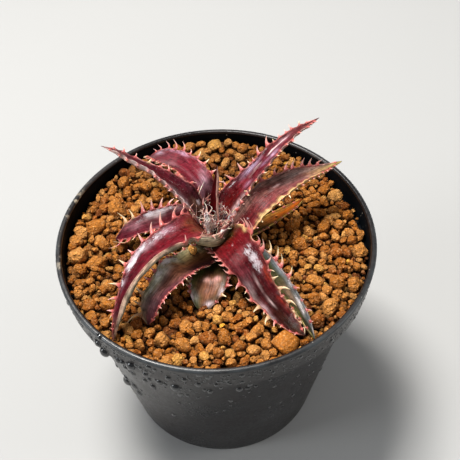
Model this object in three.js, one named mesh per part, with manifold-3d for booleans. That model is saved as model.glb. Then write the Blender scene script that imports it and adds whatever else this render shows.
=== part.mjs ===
// A young dyckia bromeliad rooted in coarse baked-clay granules, in a round plastic nursery pot.
// Units are millimetres, +Z is up, and the origin is the centre of the pot's base, on the surface it stands on.
import * as THREE from "three";
import { mergeVertices } from "three/addons/utils/BufferGeometryUtils.js";
import Module from "manifold-3d";

const wasm = await Module();
wasm.setup();

// ---------------------------------------------------------------- driving dimensions
const GAP = 0.3; // clearance between touching pieces
const POT_HEIGHT = 80;
const RIM_RADIUS = 52.5; // outside of the lip
const LIP_THICKNESS = 1.9;
const COLLAR_HEIGHT = 10; // the straight band under the lip
const COLLAR_RADIUS = 51.4; // outside of the band at its lower edge
const WALL_TOP_RADIUS = 48.2; // outside of the taper, just under the band
const BASE_RADIUS = 34.5; // outside of the taper at the base
const WALL = 1.2;
const FOOT_WIDTH = 4.2; // the ring that the pot stands on
const FLOOR_UNDER = 2.4; // underside of the floor above the foot ring's plane
const FLOOR_TOP = 3.8;
const DRAIN_RADIUS = 2.6;
const DRAIN_CIRCLE = 21;
const DRAIN_COUNT = 8;
const POT_SEGMENTS = 48;

const MIX_TOP = 73.2; // mean level of the granules
const MIX_RELIEF = 0.8; // how far the top rises and falls round that level
const MIX_SEGMENTS = 40;

const STEM_RADIUS = 2.4; // where the leaves sit
const ROOT_CROWN_RADIUS = 4.6;
const STEM_TOP = 84.2;
const ROOT_END = 46;

const EDGE = 0.22; // half the thickness of a leaf's margin

const GRANULE_SIZE = 3.0;
const GRANULE_AT = [-7.8, -5.7, 80.7];

// Each leaf is a channelled blade with toothed margins. A row of its line is
// [x, y, z, half width, roll in degrees], with x, y, z the middle of the chord between the two margins.
// thick is the greatest thickness, channel the depth of the upper side's channel as a share of the
// half width, tooth the length of a marginal spine and pitch the distance between spines.
const LEAVES = {
  leaf_centre_needle: {
    thick: 1.0, channel: 0.45, tooth: 0.0, pitch: 3.0,
    line: [
      [-0.2, 0.2, 83.8, 1.70, 0], [-0.2, 0.4, 88.3, 1.66, 0], [-0.1, 1.0, 92.7, 1.52, 0],
      [0.2, 1.6, 97.1, 1.29, 0], [0.7, 1.9, 101.5, 1.01, 0], [1.3, 1.9, 106.0, 0.62, 0],
      [1.7, 1.8, 110.4, 0.08, 0],
    ],
  },
  leaf_crown_back_right: {
    thick: 0.8, channel: 0.40, tooth: 0.8, pitch: 1.9,
    line: [
      [0.6, 1.3, 84.0, 1.50, 0], [0.8, 1.6, 85.6, 1.48, 0], [0.9, 1.8, 87.1, 1.42, 0],
      [1.2, 2.1, 88.7, 1.30, 0], [1.5, 2.3, 90.2, 1.05, 0], [2.0, 2.5, 91.7, 0.66, 0],
      [2.6, 2.8, 93.2, 0.08, 0],
    ],
  },
  leaf_crown_back_left: {
    thick: 0.9, channel: 0.40, tooth: 0.9, pitch: 2.2,
    line: [
      [-1.3, 0.6, 83.8, 2.00, 0], [-1.6, 0.8, 85.9, 1.97, 0], [-1.9, 1.0, 88.1, 1.90, 0],
      [-2.1, 1.2, 90.3, 1.71, 0], [-2.4, 1.5, 92.4, 1.40, 0], [-2.7, 1.9, 94.5, 0.87, 0],
      [-3.1, 2.4, 96.6, 0.08, 0],
    ],
  },
  leaf_crown_front_left: {
    thick: 0.9, channel: 0.40, tooth: 0.9, pitch: 2.2,
    line: [
      [-0.9, -1.9, 82.8, 2.00, 0], [-1.2, -2.3, 84.6, 2.09, 0], [-1.5, -2.5, 86.4, 2.10, 0],
      [-1.8, -2.4, 88.3, 1.90, 0], [-2.1, -1.9, 90.1, 1.48, 0], [-2.4, -1.0, 91.7, 0.90, 0],
      [-2.7, 0.4, 93.0, 0.10, 0],
    ],
  },
  leaf_crown_right: {
    thick: 0.9, channel: 0.30, tooth: 0.0, pitch: 2.0,
    line: [
      [0.9, 0.1, 84.0, 1.80, 10], [0.7, 0.5, 85.5, 1.78, 11], [1.3, 0.7, 86.8, 1.74, 13],
      [2.3, 0.7, 88.0, 1.65, 16], [3.6, 0.4, 88.6, 1.31, 20], [4.8, -0.1, 88.5, 0.81, 20],
      [5.9, -0.9, 87.6, 0.10, 20],
    ],
  },
  leaf_crown_front: {
    thick: 0.9, channel: 0.30, tooth: 0.0, pitch: 2.0,
    line: [
      [0.5, -2.0, 82.8, 1.70, 0], [0.8, -2.4, 83.8, 1.69, 0], [1.2, -2.8, 85.0, 1.65, 0],
      [1.8, -3.1, 86.0, 1.58, 0], [2.6, -3.3, 86.9, 1.35, 0], [3.5, -3.2, 87.5, 0.92, 0],
      [4.6, -3.0, 87.6, 0.10, 0],
    ],
  },
  leaf_back_left_long: {
    thick: 1.8, channel: 0.34, tooth: 1.6, pitch: 3.6,
    line: [
      [-1.0, 0.5, 84.2, 3.30, 24], [-3.3, 1.9, 87.6, 3.56, 16], [-5.2, 3.0, 91.7, 3.76, 1],
      [-7.4, 3.5, 96.4, 3.62, -8], [-10.7, 4.7, 99.6, 3.11, -3], [-14.2, 6.2, 102.3, 2.51, 7],
      [-18.0, 8.2, 104.1, 2.05, 13], [-22.1, 9.8, 105.6, 1.65, 15], [-26.1, 11.5, 107.0, 1.24, 14],
      [-30.1, 13.3, 108.4, 0.73, 12], [-34.3, 15.1, 109.1, 0.06, 10],
    ],
  },
  leaf_back_right_long: {
    thick: 1.9, channel: 0.30, tooth: 2.6, pitch: 4.0,
    line: [
      [1.0, 1.2, 82.8, 3.89, 20], [2.4, 6.5, 83.7, 4.43, 13], [5.3, 9.5, 86.9, 4.50, 6],
      [8.7, 10.8, 91.4, 3.95, -3], [12.3, 12.1, 95.4, 3.29, -7], [16.0, 13.9, 98.6, 2.92, -9],
      [19.6, 15.8, 101.7, 2.53, -8], [23.4, 17.9, 104.2, 2.02, -9], [27.5, 20.7, 105.3, 1.44, -8],
      [31.8, 23.5, 105.7, 0.85, -7], [36.0, 26.4, 105.6, 0.06, -6],
    ],
  },
  leaf_back_left_broad: {
    thick: 2.1, channel: 0.22, tooth: 2.4, pitch: 3.5,
    line: [
      [-0.9, 2.5, 80.8, 3.78, 14], [-1.9, 7.7, 84.0, 4.14, 16], [-2.4, 9.0, 90.6, 4.37, 14],
      [-4.0, 11.2, 95.5, 4.52, 11], [-7.3, 16.2, 96.3, 4.49, 7], [-10.3, 20.6, 95.1, 4.44, 0],
      [-13.0, 25.1, 92.7, 4.28, -3], [-15.5, 29.3, 89.9, 3.91, -4], [-18.1, 33.5, 87.0, 3.38, -3],
      [-20.6, 38.0, 82.8, 2.34, -1], [-22.6, 41.4, 77.6, 0.25, 3],
    ],
  },
  leaf_front_left_upper: {
    thick: 2.3, channel: 0.26, tooth: 2.6, pitch: 3.7,
    line: [
      [0.4, -2.1, 81.2, 2.98, 20], [-2.8, -4.2, 87.6, 3.68, 2], [-6.6, -6.5, 93.2, 4.38, -11],
      [-11.8, -9.9, 94.5, 4.54, 1], [-16.8, -13.1, 94.0, 4.41, 11], [-21.2, -16.9, 93.8, 4.21, 16],
      [-25.2, -21.2, 91.8, 3.81, 25], [-28.3, -25.3, 88.5, 3.27, 36],
      [-30.6, -28.4, 83.6, 2.40, 40], [-32.3, -31.8, 78.9, 1.34, 36],
      [-33.3, -34.6, 73.6, 0.20, 25],
    ],
  },
  leaf_left: {
    thick: 1.9, channel: 0.26, tooth: 2.9, pitch: 3.6,
    line: [
      [-0.6, 0.1, 78.9, 3.68, 21], [-2.4, 2.9, 80.8, 4.00, 19], [-5.4, 3.9, 84.7, 4.21, 11],
      [-9.1, 3.8, 87.8, 4.16, 4], [-13.3, 3.7, 87.6, 4.01, 2], [-17.3, 3.6, 86.2, 3.94, -1],
      [-21.3, 3.5, 85.2, 3.78, -7], [-24.9, 3.5, 83.8, 3.41, -10], [-28.1, 4.0, 81.4, 2.91, -13],
      [-31.1, 4.6, 78.8, 2.06, -14], [-33.5, 5.6, 75.3, 0.25, -15],
    ],
  },
  leaf_right: {
    thick: 2.1, channel: 0.24, tooth: 2.2, pitch: 3.6,
    line: [
      [2.4, -0.9, 79.8, 2.54, 8], [6.3, -0.7, 84.0, 3.12, 14], [10.0, 0.9, 86.3, 3.81, 20],
      [12.8, 3.0, 89.2, 4.33, 19], [16.2, 5.9, 91.1, 4.74, 15], [20.3, 8.9, 91.7, 4.72, 4],
      [24.9, 11.7, 91.9, 4.33, -3], [29.5, 13.6, 92.5, 3.54, -6], [34.1, 15.4, 92.2, 2.56, -8],
      [38.7, 17.2, 92.3, 1.43, -10], [43.3, 19.2, 92.2, 0.12, -9],
    ],
  },
  leaf_front_right_upper: {
    thick: 2.3, channel: 0.24, tooth: 2.2, pitch: 3.5,
    line: [
      [0.9, -1.9, 81.2, 5.03, 11], [3.2, -6.1, 85.3, 5.73, 22], [5.5, -10.8, 87.0, 5.73, 21],
      [7.8, -14.9, 86.8, 5.47, 16], [10.1, -18.1, 85.0, 5.04, 10], [12.2, -21.2, 82.1, 4.60, 4],
      [14.3, -24.6, 80.0, 4.14, 0], [16.9, -28.1, 78.5, 3.57, -1], [19.4, -31.6, 76.9, 3.04, 1],
      [22.1, -35.1, 76.0, 2.15, 3], [25.3, -38.6, 76.1, 0.25, 3],
    ],
  },
  leaf_front_right_lower: {
    thick: 1.9, channel: 0.24, tooth: 2.6, pitch: 3.8,
    line: [
      [1.7, -1.1, 76.6, 4.50, 5], [4.5, -1.7, 77.9, 4.21, 0], [7.7, -3.3, 78.9, 3.71, -5],
      [11.5, -5.7, 79.5, 3.11, -12], [15.0, -9.4, 78.7, 2.50, -18], [17.9, -13.9, 77.4, 2.61, -18],
      [20.5, -18.8, 76.8, 2.82, -16], [22.8, -23.8, 76.3, 2.73, -17],
      [24.7, -29.0, 76.3, 2.28, -19], [26.5, -34.3, 76.1, 1.49, -20],
      [28.1, -39.3, 75.0, 0.16, -20],
    ],
  },
  leaf_front_left_lower: {
    thick: 2.0, channel: 0.24, tooth: 2.2, pitch: 3.4,
    line: [
      [-1.4, -2.3, 77.6, 4.54, -2], [-4.0, -6.2, 79.4, 4.93, -1], [-7.2, -9.2, 80.7, 5.02, 0],
      [-9.4, -12.3, 82.6, 5.03, 0], [-11.5, -15.1, 84.8, 4.99, -2], [-13.9, -17.8, 85.6, 4.87, -4],
      [-16.3, -20.8, 84.4, 4.23, -1], [-18.9, -24.3, 83.9, 3.47, -1],
      [-21.0, -27.0, 81.7, 2.91, -7], [-22.2, -28.7, 77.5, 1.93, -14],
      [-22.7, -29.4, 73.7, 0.25, -18],
    ],
  },
  leaf_front_low: {
    thick: 1.8, channel: 0.20, tooth: 1.4, pitch: 3.4,
    line: [
      [-0.8, -2.4, 74.6, 4.37, 4], [-1.3, -4.9, 75.0, 4.67, 4], [-1.7, -7.1, 76.0, 4.95, 4],
      [-2.1, -9.3, 77.2, 5.25, 3], [-2.5, -11.5, 78.2, 5.49, 3], [-2.7, -13.9, 78.7, 5.66, 2],
      [-3.0, -16.5, 78.7, 5.77, 1], [-3.6, -18.8, 78.1, 5.54, 0], [-4.4, -20.9, 77.0, 4.95, -2],
      [-5.0, -22.7, 75.3, 3.89, -5], [-5.4, -24.0, 73.2, 1.93, -7],
    ],
  },
  leaf_right_old: {
    thick: 1.1, channel: 0.16, tooth: 1.0, pitch: 3.6,
    line: [
      [2.6, 1.3, 76.4, 3.57, -11], [5.5, 2.9, 76.2, 3.56, -12], [8.4, 4.5, 75.8, 3.55, -13],
      [11.3, 6.2, 75.3, 3.53, -15], [14.2, 7.9, 74.9, 3.45, -17], [16.9, 9.8, 74.5, 3.28, -20],
      [19.6, 11.8, 74.3, 3.16, -22], [22.4, 13.7, 74.3, 2.96, -22], [25.3, 15.5, 74.4, 2.55, -22],
      [28.1, 17.3, 74.5, 1.80, -21], [30.7, 19.5, 74.6, 0.60, -20],
    ],
  },
};

const COLOURS = {
  pot: [0x17181a, 0.42],
  mix: [0xa8652f, 0.95],
  stem: [0x5b4a38, 0.85],
  leaf: [0x5a1a30, 0.42],
  leafOld: [0x7c6a33, 0.6],
  leafLow: [0x5f5a3c, 0.5],
  leafYoung: [0x6a2a38, 0.55],
};

// ---------------------------------------------------------------- closed meshes and their solids
// A closed three.js geometry as a solid: vertices merged, collapsed triangles dropped.
function solid(geometry) {
  const g = geometry.index ? geometry.toNonIndexed() : geometry.clone();
  g.deleteAttribute("normal");
  g.deleteAttribute("uv");
  const m = mergeVertices(g, 1e-4);
  const tri = [];
  const ix = m.index.array;
  for (let i = 0; i < ix.length; i += 3) {
    const [a, b, c] = [ix[i], ix[i + 1], ix[i + 2]];
    if (a !== b && b !== c && c !== a) tri.push(a, b, c);
  }
  return new wasm.Manifold(
    new wasm.Mesh({
      numProp: 3,
      vertProperties: new Float32Array(m.attributes.position.array),
      triVerts: new Uint32Array(tri),
    }),
  );
}

// The largest separate body of a solid, as cuts can leave crumbs beside it.
function largest(s) {
  const parts = s.decompose();
  parts.sort((a, b) => b.volume() - a.volume());
  return parts[0];
}

function meshOf(name, s, [color, roughness]) {
  const made = s.getMesh();
  const g = new THREE.BufferGeometry();
  g.setAttribute(
    "position",
    new THREE.BufferAttribute(new Float32Array(made.vertProperties), 3),
  );
  g.setIndex(new THREE.BufferAttribute(new Uint32Array(made.triVerts), 1));
  g.computeVertexNormals();
  const mesh = new THREE.Mesh(
    g,
    new THREE.MeshStandardMaterial({ color, roughness, metalness: 0 }),
  );
  mesh.name = name;
  return mesh;
}

function lathe(profile, segments) {
  const g = new THREE.LatheGeometry(
    profile.map(([r, z]) => new THREE.Vector2(r, z)),
    segments,
  );
  g.rotateX(Math.PI / 2); // the lathe turns about Y; this stands it on Z
  return g;
}

// A repeatable value from 0 to 1 for a pair of whole numbers.
function scatter(a, b) {
  const v = Math.sin(a * 127.1 + b * 311.7 + 17.3) * 43758.5453;
  return v - Math.floor(v);
}

// ---------------------------------------------------------------- pot
// Half of the pot's section, from the axis out along the underside, up the outside,
// over the lip and back down the inside to the axis.
const bandFoot = POT_HEIGHT - COLLAR_HEIGHT;
const potProfile = [
  [0, FLOOR_UNDER],
  [BASE_RADIUS - FOOT_WIDTH - 0.6, FLOOR_UNDER],
  [BASE_RADIUS - FOOT_WIDTH, 0],
  [BASE_RADIUS - 0.5, 0],
  [BASE_RADIUS, 0.6],
  [WALL_TOP_RADIUS, bandFoot - 0.6],
  [WALL_TOP_RADIUS + 0.5, bandFoot],
  [COLLAR_RADIUS - 0.3, bandFoot],
  [COLLAR_RADIUS, bandFoot + 0.4],
  [RIM_RADIUS - 0.5, POT_HEIGHT - 1.9],
  [RIM_RADIUS, POT_HEIGHT - 1.5],
  [RIM_RADIUS, POT_HEIGHT - 0.5],
  [RIM_RADIUS - 0.5, POT_HEIGHT],
  [RIM_RADIUS - LIP_THICKNESS + 0.4, POT_HEIGHT],
  [RIM_RADIUS - LIP_THICKNESS, POT_HEIGHT - 0.5],
  [COLLAR_RADIUS - WALL, bandFoot + 1.6],
  [WALL_TOP_RADIUS - WALL, bandFoot + 0.6],
  [BASE_RADIUS - WALL + 0.9, FLOOR_TOP + 1.2],
  [BASE_RADIUS - WALL - 0.8, FLOOR_TOP],
  [0, FLOOR_TOP],
];

function drain(x, y) {
  const g = new THREE.CylinderGeometry(DRAIN_RADIUS, DRAIN_RADIUS, 8, 12);
  g.rotateX(Math.PI / 2);
  g.translate(x, y, (FLOOR_UNDER + FLOOR_TOP) / 2);
  return solid(g);
}

function makePot() {
  let pot = solid(lathe(potProfile, POT_SEGMENTS));
  pot = pot.subtract(drain(0, 0));
  for (let i = 0; i < DRAIN_COUNT; i++) {
    const a = ((i + 0.5) / DRAIN_COUNT) * 2 * Math.PI;
    pot = pot.subtract(
      drain(DRAIN_CIRCLE * Math.cos(a), DRAIN_CIRCLE * Math.sin(a)),
    );
  }
  return pot;
}

// ---------------------------------------------------------------- potting mix
// One settled mass with the inside shape of the pot and an uneven top. lift raises the top.
function mixGeometry(lift = 0) {
  const side = [
    [BASE_RADIUS - WALL - 0.9 - GAP, FLOOR_TOP + GAP],
    [BASE_RADIUS - WALL + 0.7 - GAP, FLOOR_TOP + GAP + 1.2],
    [WALL_TOP_RADIUS - WALL - GAP - 0.05, bandFoot + 0.7],
    [COLLAR_RADIUS - WALL - GAP - 0.15, bandFoot + 1.8],
  ];
  const rings = [COLLAR_RADIUS - WALL - GAP - 0.2, 46.5, 41, 34.5, 27, 19, 11];
  const position = [];
  const index = [];
  const n = MIX_SEGMENTS;
  const ring = (r, z) => {
    const first = position.length / 3;
    for (let i = 0; i < n; i++) {
      const a = (i / n) * 2 * Math.PI;
      position.push(r * Math.cos(a), r * Math.sin(a), z(i));
    }
    return first;
  };
  const starts = side.map(([r, z]) => ring(r, () => z));
  rings.forEach((r, k) => {
    starts.push(
      ring(
        r,
        (i) => MIX_TOP + lift + MIX_RELIEF * (2 * scatter(i, k + 1) - 1) * (k ? 1 : 0.4),
      ),
    );
  });
  for (let s = 0; s + 1 < starts.length; s++)
    for (let i = 0; i < n; i++) {
      const j = (i + 1) % n;
      const [a, b, c, d] = [starts[s] + i, starts[s] + j, starts[s + 1] + j, starts[s + 1] + i];
      index.push(a, b, c, a, c, d);
    }
  const under = position.length / 3;
  position.push(0, 0, FLOOR_TOP + GAP);
  const top = under + 1;
  position.push(0, 0, MIX_TOP + lift);
  const last = starts[starts.length - 1];
  for (let i = 0; i < n; i++) {
    const j = (i + 1) % n;
    index.push(under, starts[0] + j, starts[0] + i);
    index.push(top, last + i, last + j);
  }
  const g = new THREE.BufferGeometry();
  g.setAttribute("position", new THREE.Float32BufferAttribute(position, 3));
  g.setIndex(index);
  return g;
}

// ---------------------------------------------------------------- stem
// A short woody stem: its top carries the leaves and its root crown tapers down into the mix.
function stemGeometry(grow = 0) {
  return lathe(
    [
      [0, ROOT_END - grow],
      [1.0 + grow, ROOT_END + 1 - grow],
      [2.6 + grow, 58],
      [ROOT_CROWN_RADIUS + grow, 66],
      [ROOT_CROWN_RADIUS - 0.6 + grow, 71],
      [STEM_RADIUS + 0.6 + grow, 75],
      [STEM_RADIUS + grow, 79],
      [STEM_RADIUS - 0.6 + grow, 82],
      [0.8 + grow, STEM_TOP - 0.5 + grow],
      [0, STEM_TOP + grow],
    ],
    20,
  );
}

// ---------------------------------------------------------------- leaves
// The blade is lofted through sections that stand across its line. Sections take turns between
// the foot and the point of a spine, so that the margins come out toothed.
function leafGeometry({ thick, channel, tooth, pitch, line }, grow = 0) {
  const curve = new THREE.CatmullRomCurve3(
    line.map(([x, y, z]) => new THREE.Vector3(x, y, z)),
    false,
    "centripetal",
  );
  curve.arcLengthDivisions = 400;
  const length = curve.getLength();
  const spines = Math.max(3, Math.round(length / pitch));
  const count = tooth ? 2 * spines + 1 : 9;
  const first = new THREE.Vector3(...line[0].slice(0, 3));
  const last = new THREE.Vector3(...line[line.length - 1].slice(0, 3));
  const lead = last.clone().sub(first).setZ(0).normalize();
  const position = [];
  const index = [];
  const ringSize = 10;
  for (let k = 0; k < count; k++) {
    const u = k / (count - 1);
    const t = curve.getUtoTmapping(u);
    const p = curve.getPoint(t);
    const tangent = curve.getTangent(t);
    const at = t * (line.length - 1);
    const i = Math.min(line.length - 2, Math.floor(at));
    const f = at - i;
    let half = line[i][3] * (1 - f) + line[i + 1][3] * f;
    const roll = THREE.MathUtils.degToRad(line[i][4] * (1 - f) + line[i + 1][4] * f);
    const flat = tangent.clone().setZ(0).addScaledVector(lead, 0.35).normalize();
    const w0 = new THREE.Vector3(-flat.y, flat.x, 0);
    w0.addScaledVector(tangent, -w0.dot(tangent)).normalize();
    const n0 = tangent.clone().cross(w0);
    const across = w0.clone().multiplyScalar(Math.cos(roll)).addScaledVector(n0, Math.sin(roll));
    const up = n0.clone().multiplyScalar(Math.cos(roll)).addScaledVector(w0, -Math.sin(roll));
    const isPoint = k % 2 === 1 && tooth > 0;
    const depth = channel * half;
    const body = Math.min(thick, half * 1.1) * (1 - 0.72 * Math.pow(u, 1.6));
    const reach = isPoint
      ? tooth * Math.min(1, u * 6) * Math.min(1, (1 - u) * 3.2)
      : 0;
    half = Math.max(half, 0.22) + grow;
    const edge = Math.min(EDGE, 0.4 * half) * (isPoint ? 0.6 : 1);
    const lean = 0.12 * reach;
    // [across, up, along]
    const section = [
      [half + reach, lean + edge + grow, -lean],
      [half + reach, lean - edge - grow, -lean],
      [0.62 * half, -0.5 * depth - 0.72 * body - grow, 0],
      [0, -depth - body - grow, 0],
      [-0.62 * half, -0.5 * depth - 0.72 * body - grow, 0],
      [-half - reach, lean - edge - grow, -lean],
      [-half - reach, lean + edge + grow, -lean],
      [-0.5 * half, -0.75 * depth + grow, 0],
      [0, -depth + grow, 0],
      [0.5 * half, -0.75 * depth + grow, 0],
    ];
    const end = k === 0 ? -grow : k === count - 1 ? grow : 0;
    for (const [a, b, c] of section) {
      const v = p
        .clone()
        .addScaledVector(across, a)
        .addScaledVector(up, b)
        .addScaledVector(tangent, c + end);
      position.push(v.x, v.y, v.z);
    }
  }
  for (let k = 0; k + 1 < count; k++)
    for (let i = 0; i < ringSize; i++) {
      const j = (i + 1) % ringSize;
      const [a, b, c, d] = [
        k * ringSize + i,
        k * ringSize + j,
        (k + 1) * ringSize + j,
        (k + 1) * ringSize + i,
      ];
      index.push(a, c, b, a, d, c);
    }
  // The two ends are closed with strips between the margins.
  const caps = (o, turned) => {
    for (const [a, b, c] of [
      [0, 9, 1],
      [9, 2, 1],
      [9, 8, 2],
      [8, 3, 2],
      [8, 7, 3],
      [7, 4, 3],
      [7, 6, 4],
      [6, 5, 4],
    ])
      index.push(o + a, o + (turned ? c : b), o + (turned ? b : c));
  };
  caps(0, true);
  caps((count - 1) * ringSize, false);
  const g = new THREE.BufferGeometry();
  g.setAttribute("position", new THREE.Float32BufferAttribute(position, 3));
  g.setIndex(index);
  return g;
}

// ---------------------------------------------------------------- loose granule
// A rounded, angular clod.
function granuleGeometry(grow = 0) {
  const g = new THREE.IcosahedronGeometry(GRANULE_SIZE / 2 + grow, 1);
  const p = g.attributes.position;
  for (let i = 0; i < p.count; i++) {
    const v = new THREE.Vector3().fromBufferAttribute(p, i);
    const key = Math.round(v.x * 50) * 3 + Math.round(v.y * 50) * 5 + Math.round(v.z * 50) * 7;
    v.multiplyScalar(0.9 + 0.2 * scatter(key, 9));
    p.setXYZ(i, v.x * 1.06, v.y, v.z * 0.84);
  }
  g.translate(...GRANULE_AT);
  return g;
}

// ---------------------------------------------------------------- assembly
const part = new THREE.Group();
part.name = "potted_dyckia";

part.add(meshOf("pot", makePot(), COLOURS.pot));

const stem = solid(stemGeometry());
part.add(meshOf("stem", stem, COLOURS.stem));

const stemRoom = solid(stemGeometry(GAP + 0.02));
const mix = solid(mixGeometry()).subtract(stemRoom);
part.add(meshOf("potting_mix", largest(mix), COLOURS.mix));

// Leaves are fitted from the young ones in the middle to the old ones outside: each is cut back
// where the stem, the mix or a leaf fitted before it takes the room.
const mixRoom = solid(mixGeometry(GAP + 0.05));
let taken = stemRoom.add(mixRoom);
for (const [name, leaf] of Object.entries(LEAVES)) {
  const blade = solid(leafGeometry(leaf));
  const kind =
    name === "leaf_right_old"
      ? COLOURS.leafOld
      : name === "leaf_front_low" || name === "leaf_front_right_lower"
        ? COLOURS.leafLow
        : name.startsWith("leaf_crown") || name === "leaf_centre_needle"
          ? COLOURS.leafYoung
          : COLOURS.leaf;
  part.add(meshOf(name, largest(blade.subtract(taken)), kind));
  taken = taken.add(solid(leafGeometry(leaf, GAP + 0.03)));
}

part.add(
  meshOf(
    "granule_on_leaf",
    largest(solid(granuleGeometry()).subtract(taken)),
    COLOURS.mix,
  ),
);

export default part;
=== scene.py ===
# The looks of a young dyckia bromeliad in its round nursery pot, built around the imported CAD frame.
# Lengths in the tables are millimetres in the CAD frame; meshes are written in metres.
import math

import bpy
import numpy as np
from mathutils import Matrix, Vector


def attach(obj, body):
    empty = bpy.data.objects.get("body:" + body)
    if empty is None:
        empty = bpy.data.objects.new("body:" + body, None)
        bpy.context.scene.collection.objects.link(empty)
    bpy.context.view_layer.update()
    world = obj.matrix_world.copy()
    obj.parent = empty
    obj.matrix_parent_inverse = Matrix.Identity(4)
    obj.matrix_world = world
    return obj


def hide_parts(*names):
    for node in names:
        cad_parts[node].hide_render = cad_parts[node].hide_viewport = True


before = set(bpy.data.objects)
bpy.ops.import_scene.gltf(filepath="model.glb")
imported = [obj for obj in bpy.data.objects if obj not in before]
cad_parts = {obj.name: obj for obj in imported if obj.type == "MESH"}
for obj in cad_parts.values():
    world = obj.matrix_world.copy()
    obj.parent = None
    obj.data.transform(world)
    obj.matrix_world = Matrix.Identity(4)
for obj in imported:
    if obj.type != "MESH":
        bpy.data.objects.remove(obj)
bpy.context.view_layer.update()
MM = 0.001

# ---------------------------------------------------------------- camera geometry
# A camera above the pot and in front of it, looking down into the rosette. Millimetres.
FOCAL = 914.875  # in pixels of a 460 pixel wide frame
EYE = np.array((0.0, -197.6546, 305.6827))
RIGHT = np.array((0.9981457, -0.0544922, -0.027125))
UP = np.array((0.05876128, 0.74632602, 0.66298158))
FORWARD = np.array((0.01588323, 0.66334612, -0.74814414))


def project(points):
    q = np.atleast_2d(points) - EYE
    return np.stack(
        [230 + FOCAL * (q @ RIGHT) / (q @ FORWARD), 230 - FOCAL * (q @ UP) / (q @ FORWARD)], 1
    )


def sight(px, py):
    """The direction from the eye through a point of the frame."""
    d = (px - 230) / FOCAL * RIGHT - (py - 230) / FOCAL * UP + FORWARD
    return d / np.linalg.norm(d)


def on_level(px, py, z):
    d = sight(px, py)
    return EYE + (z - EYE[2]) / d[2] * d


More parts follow.
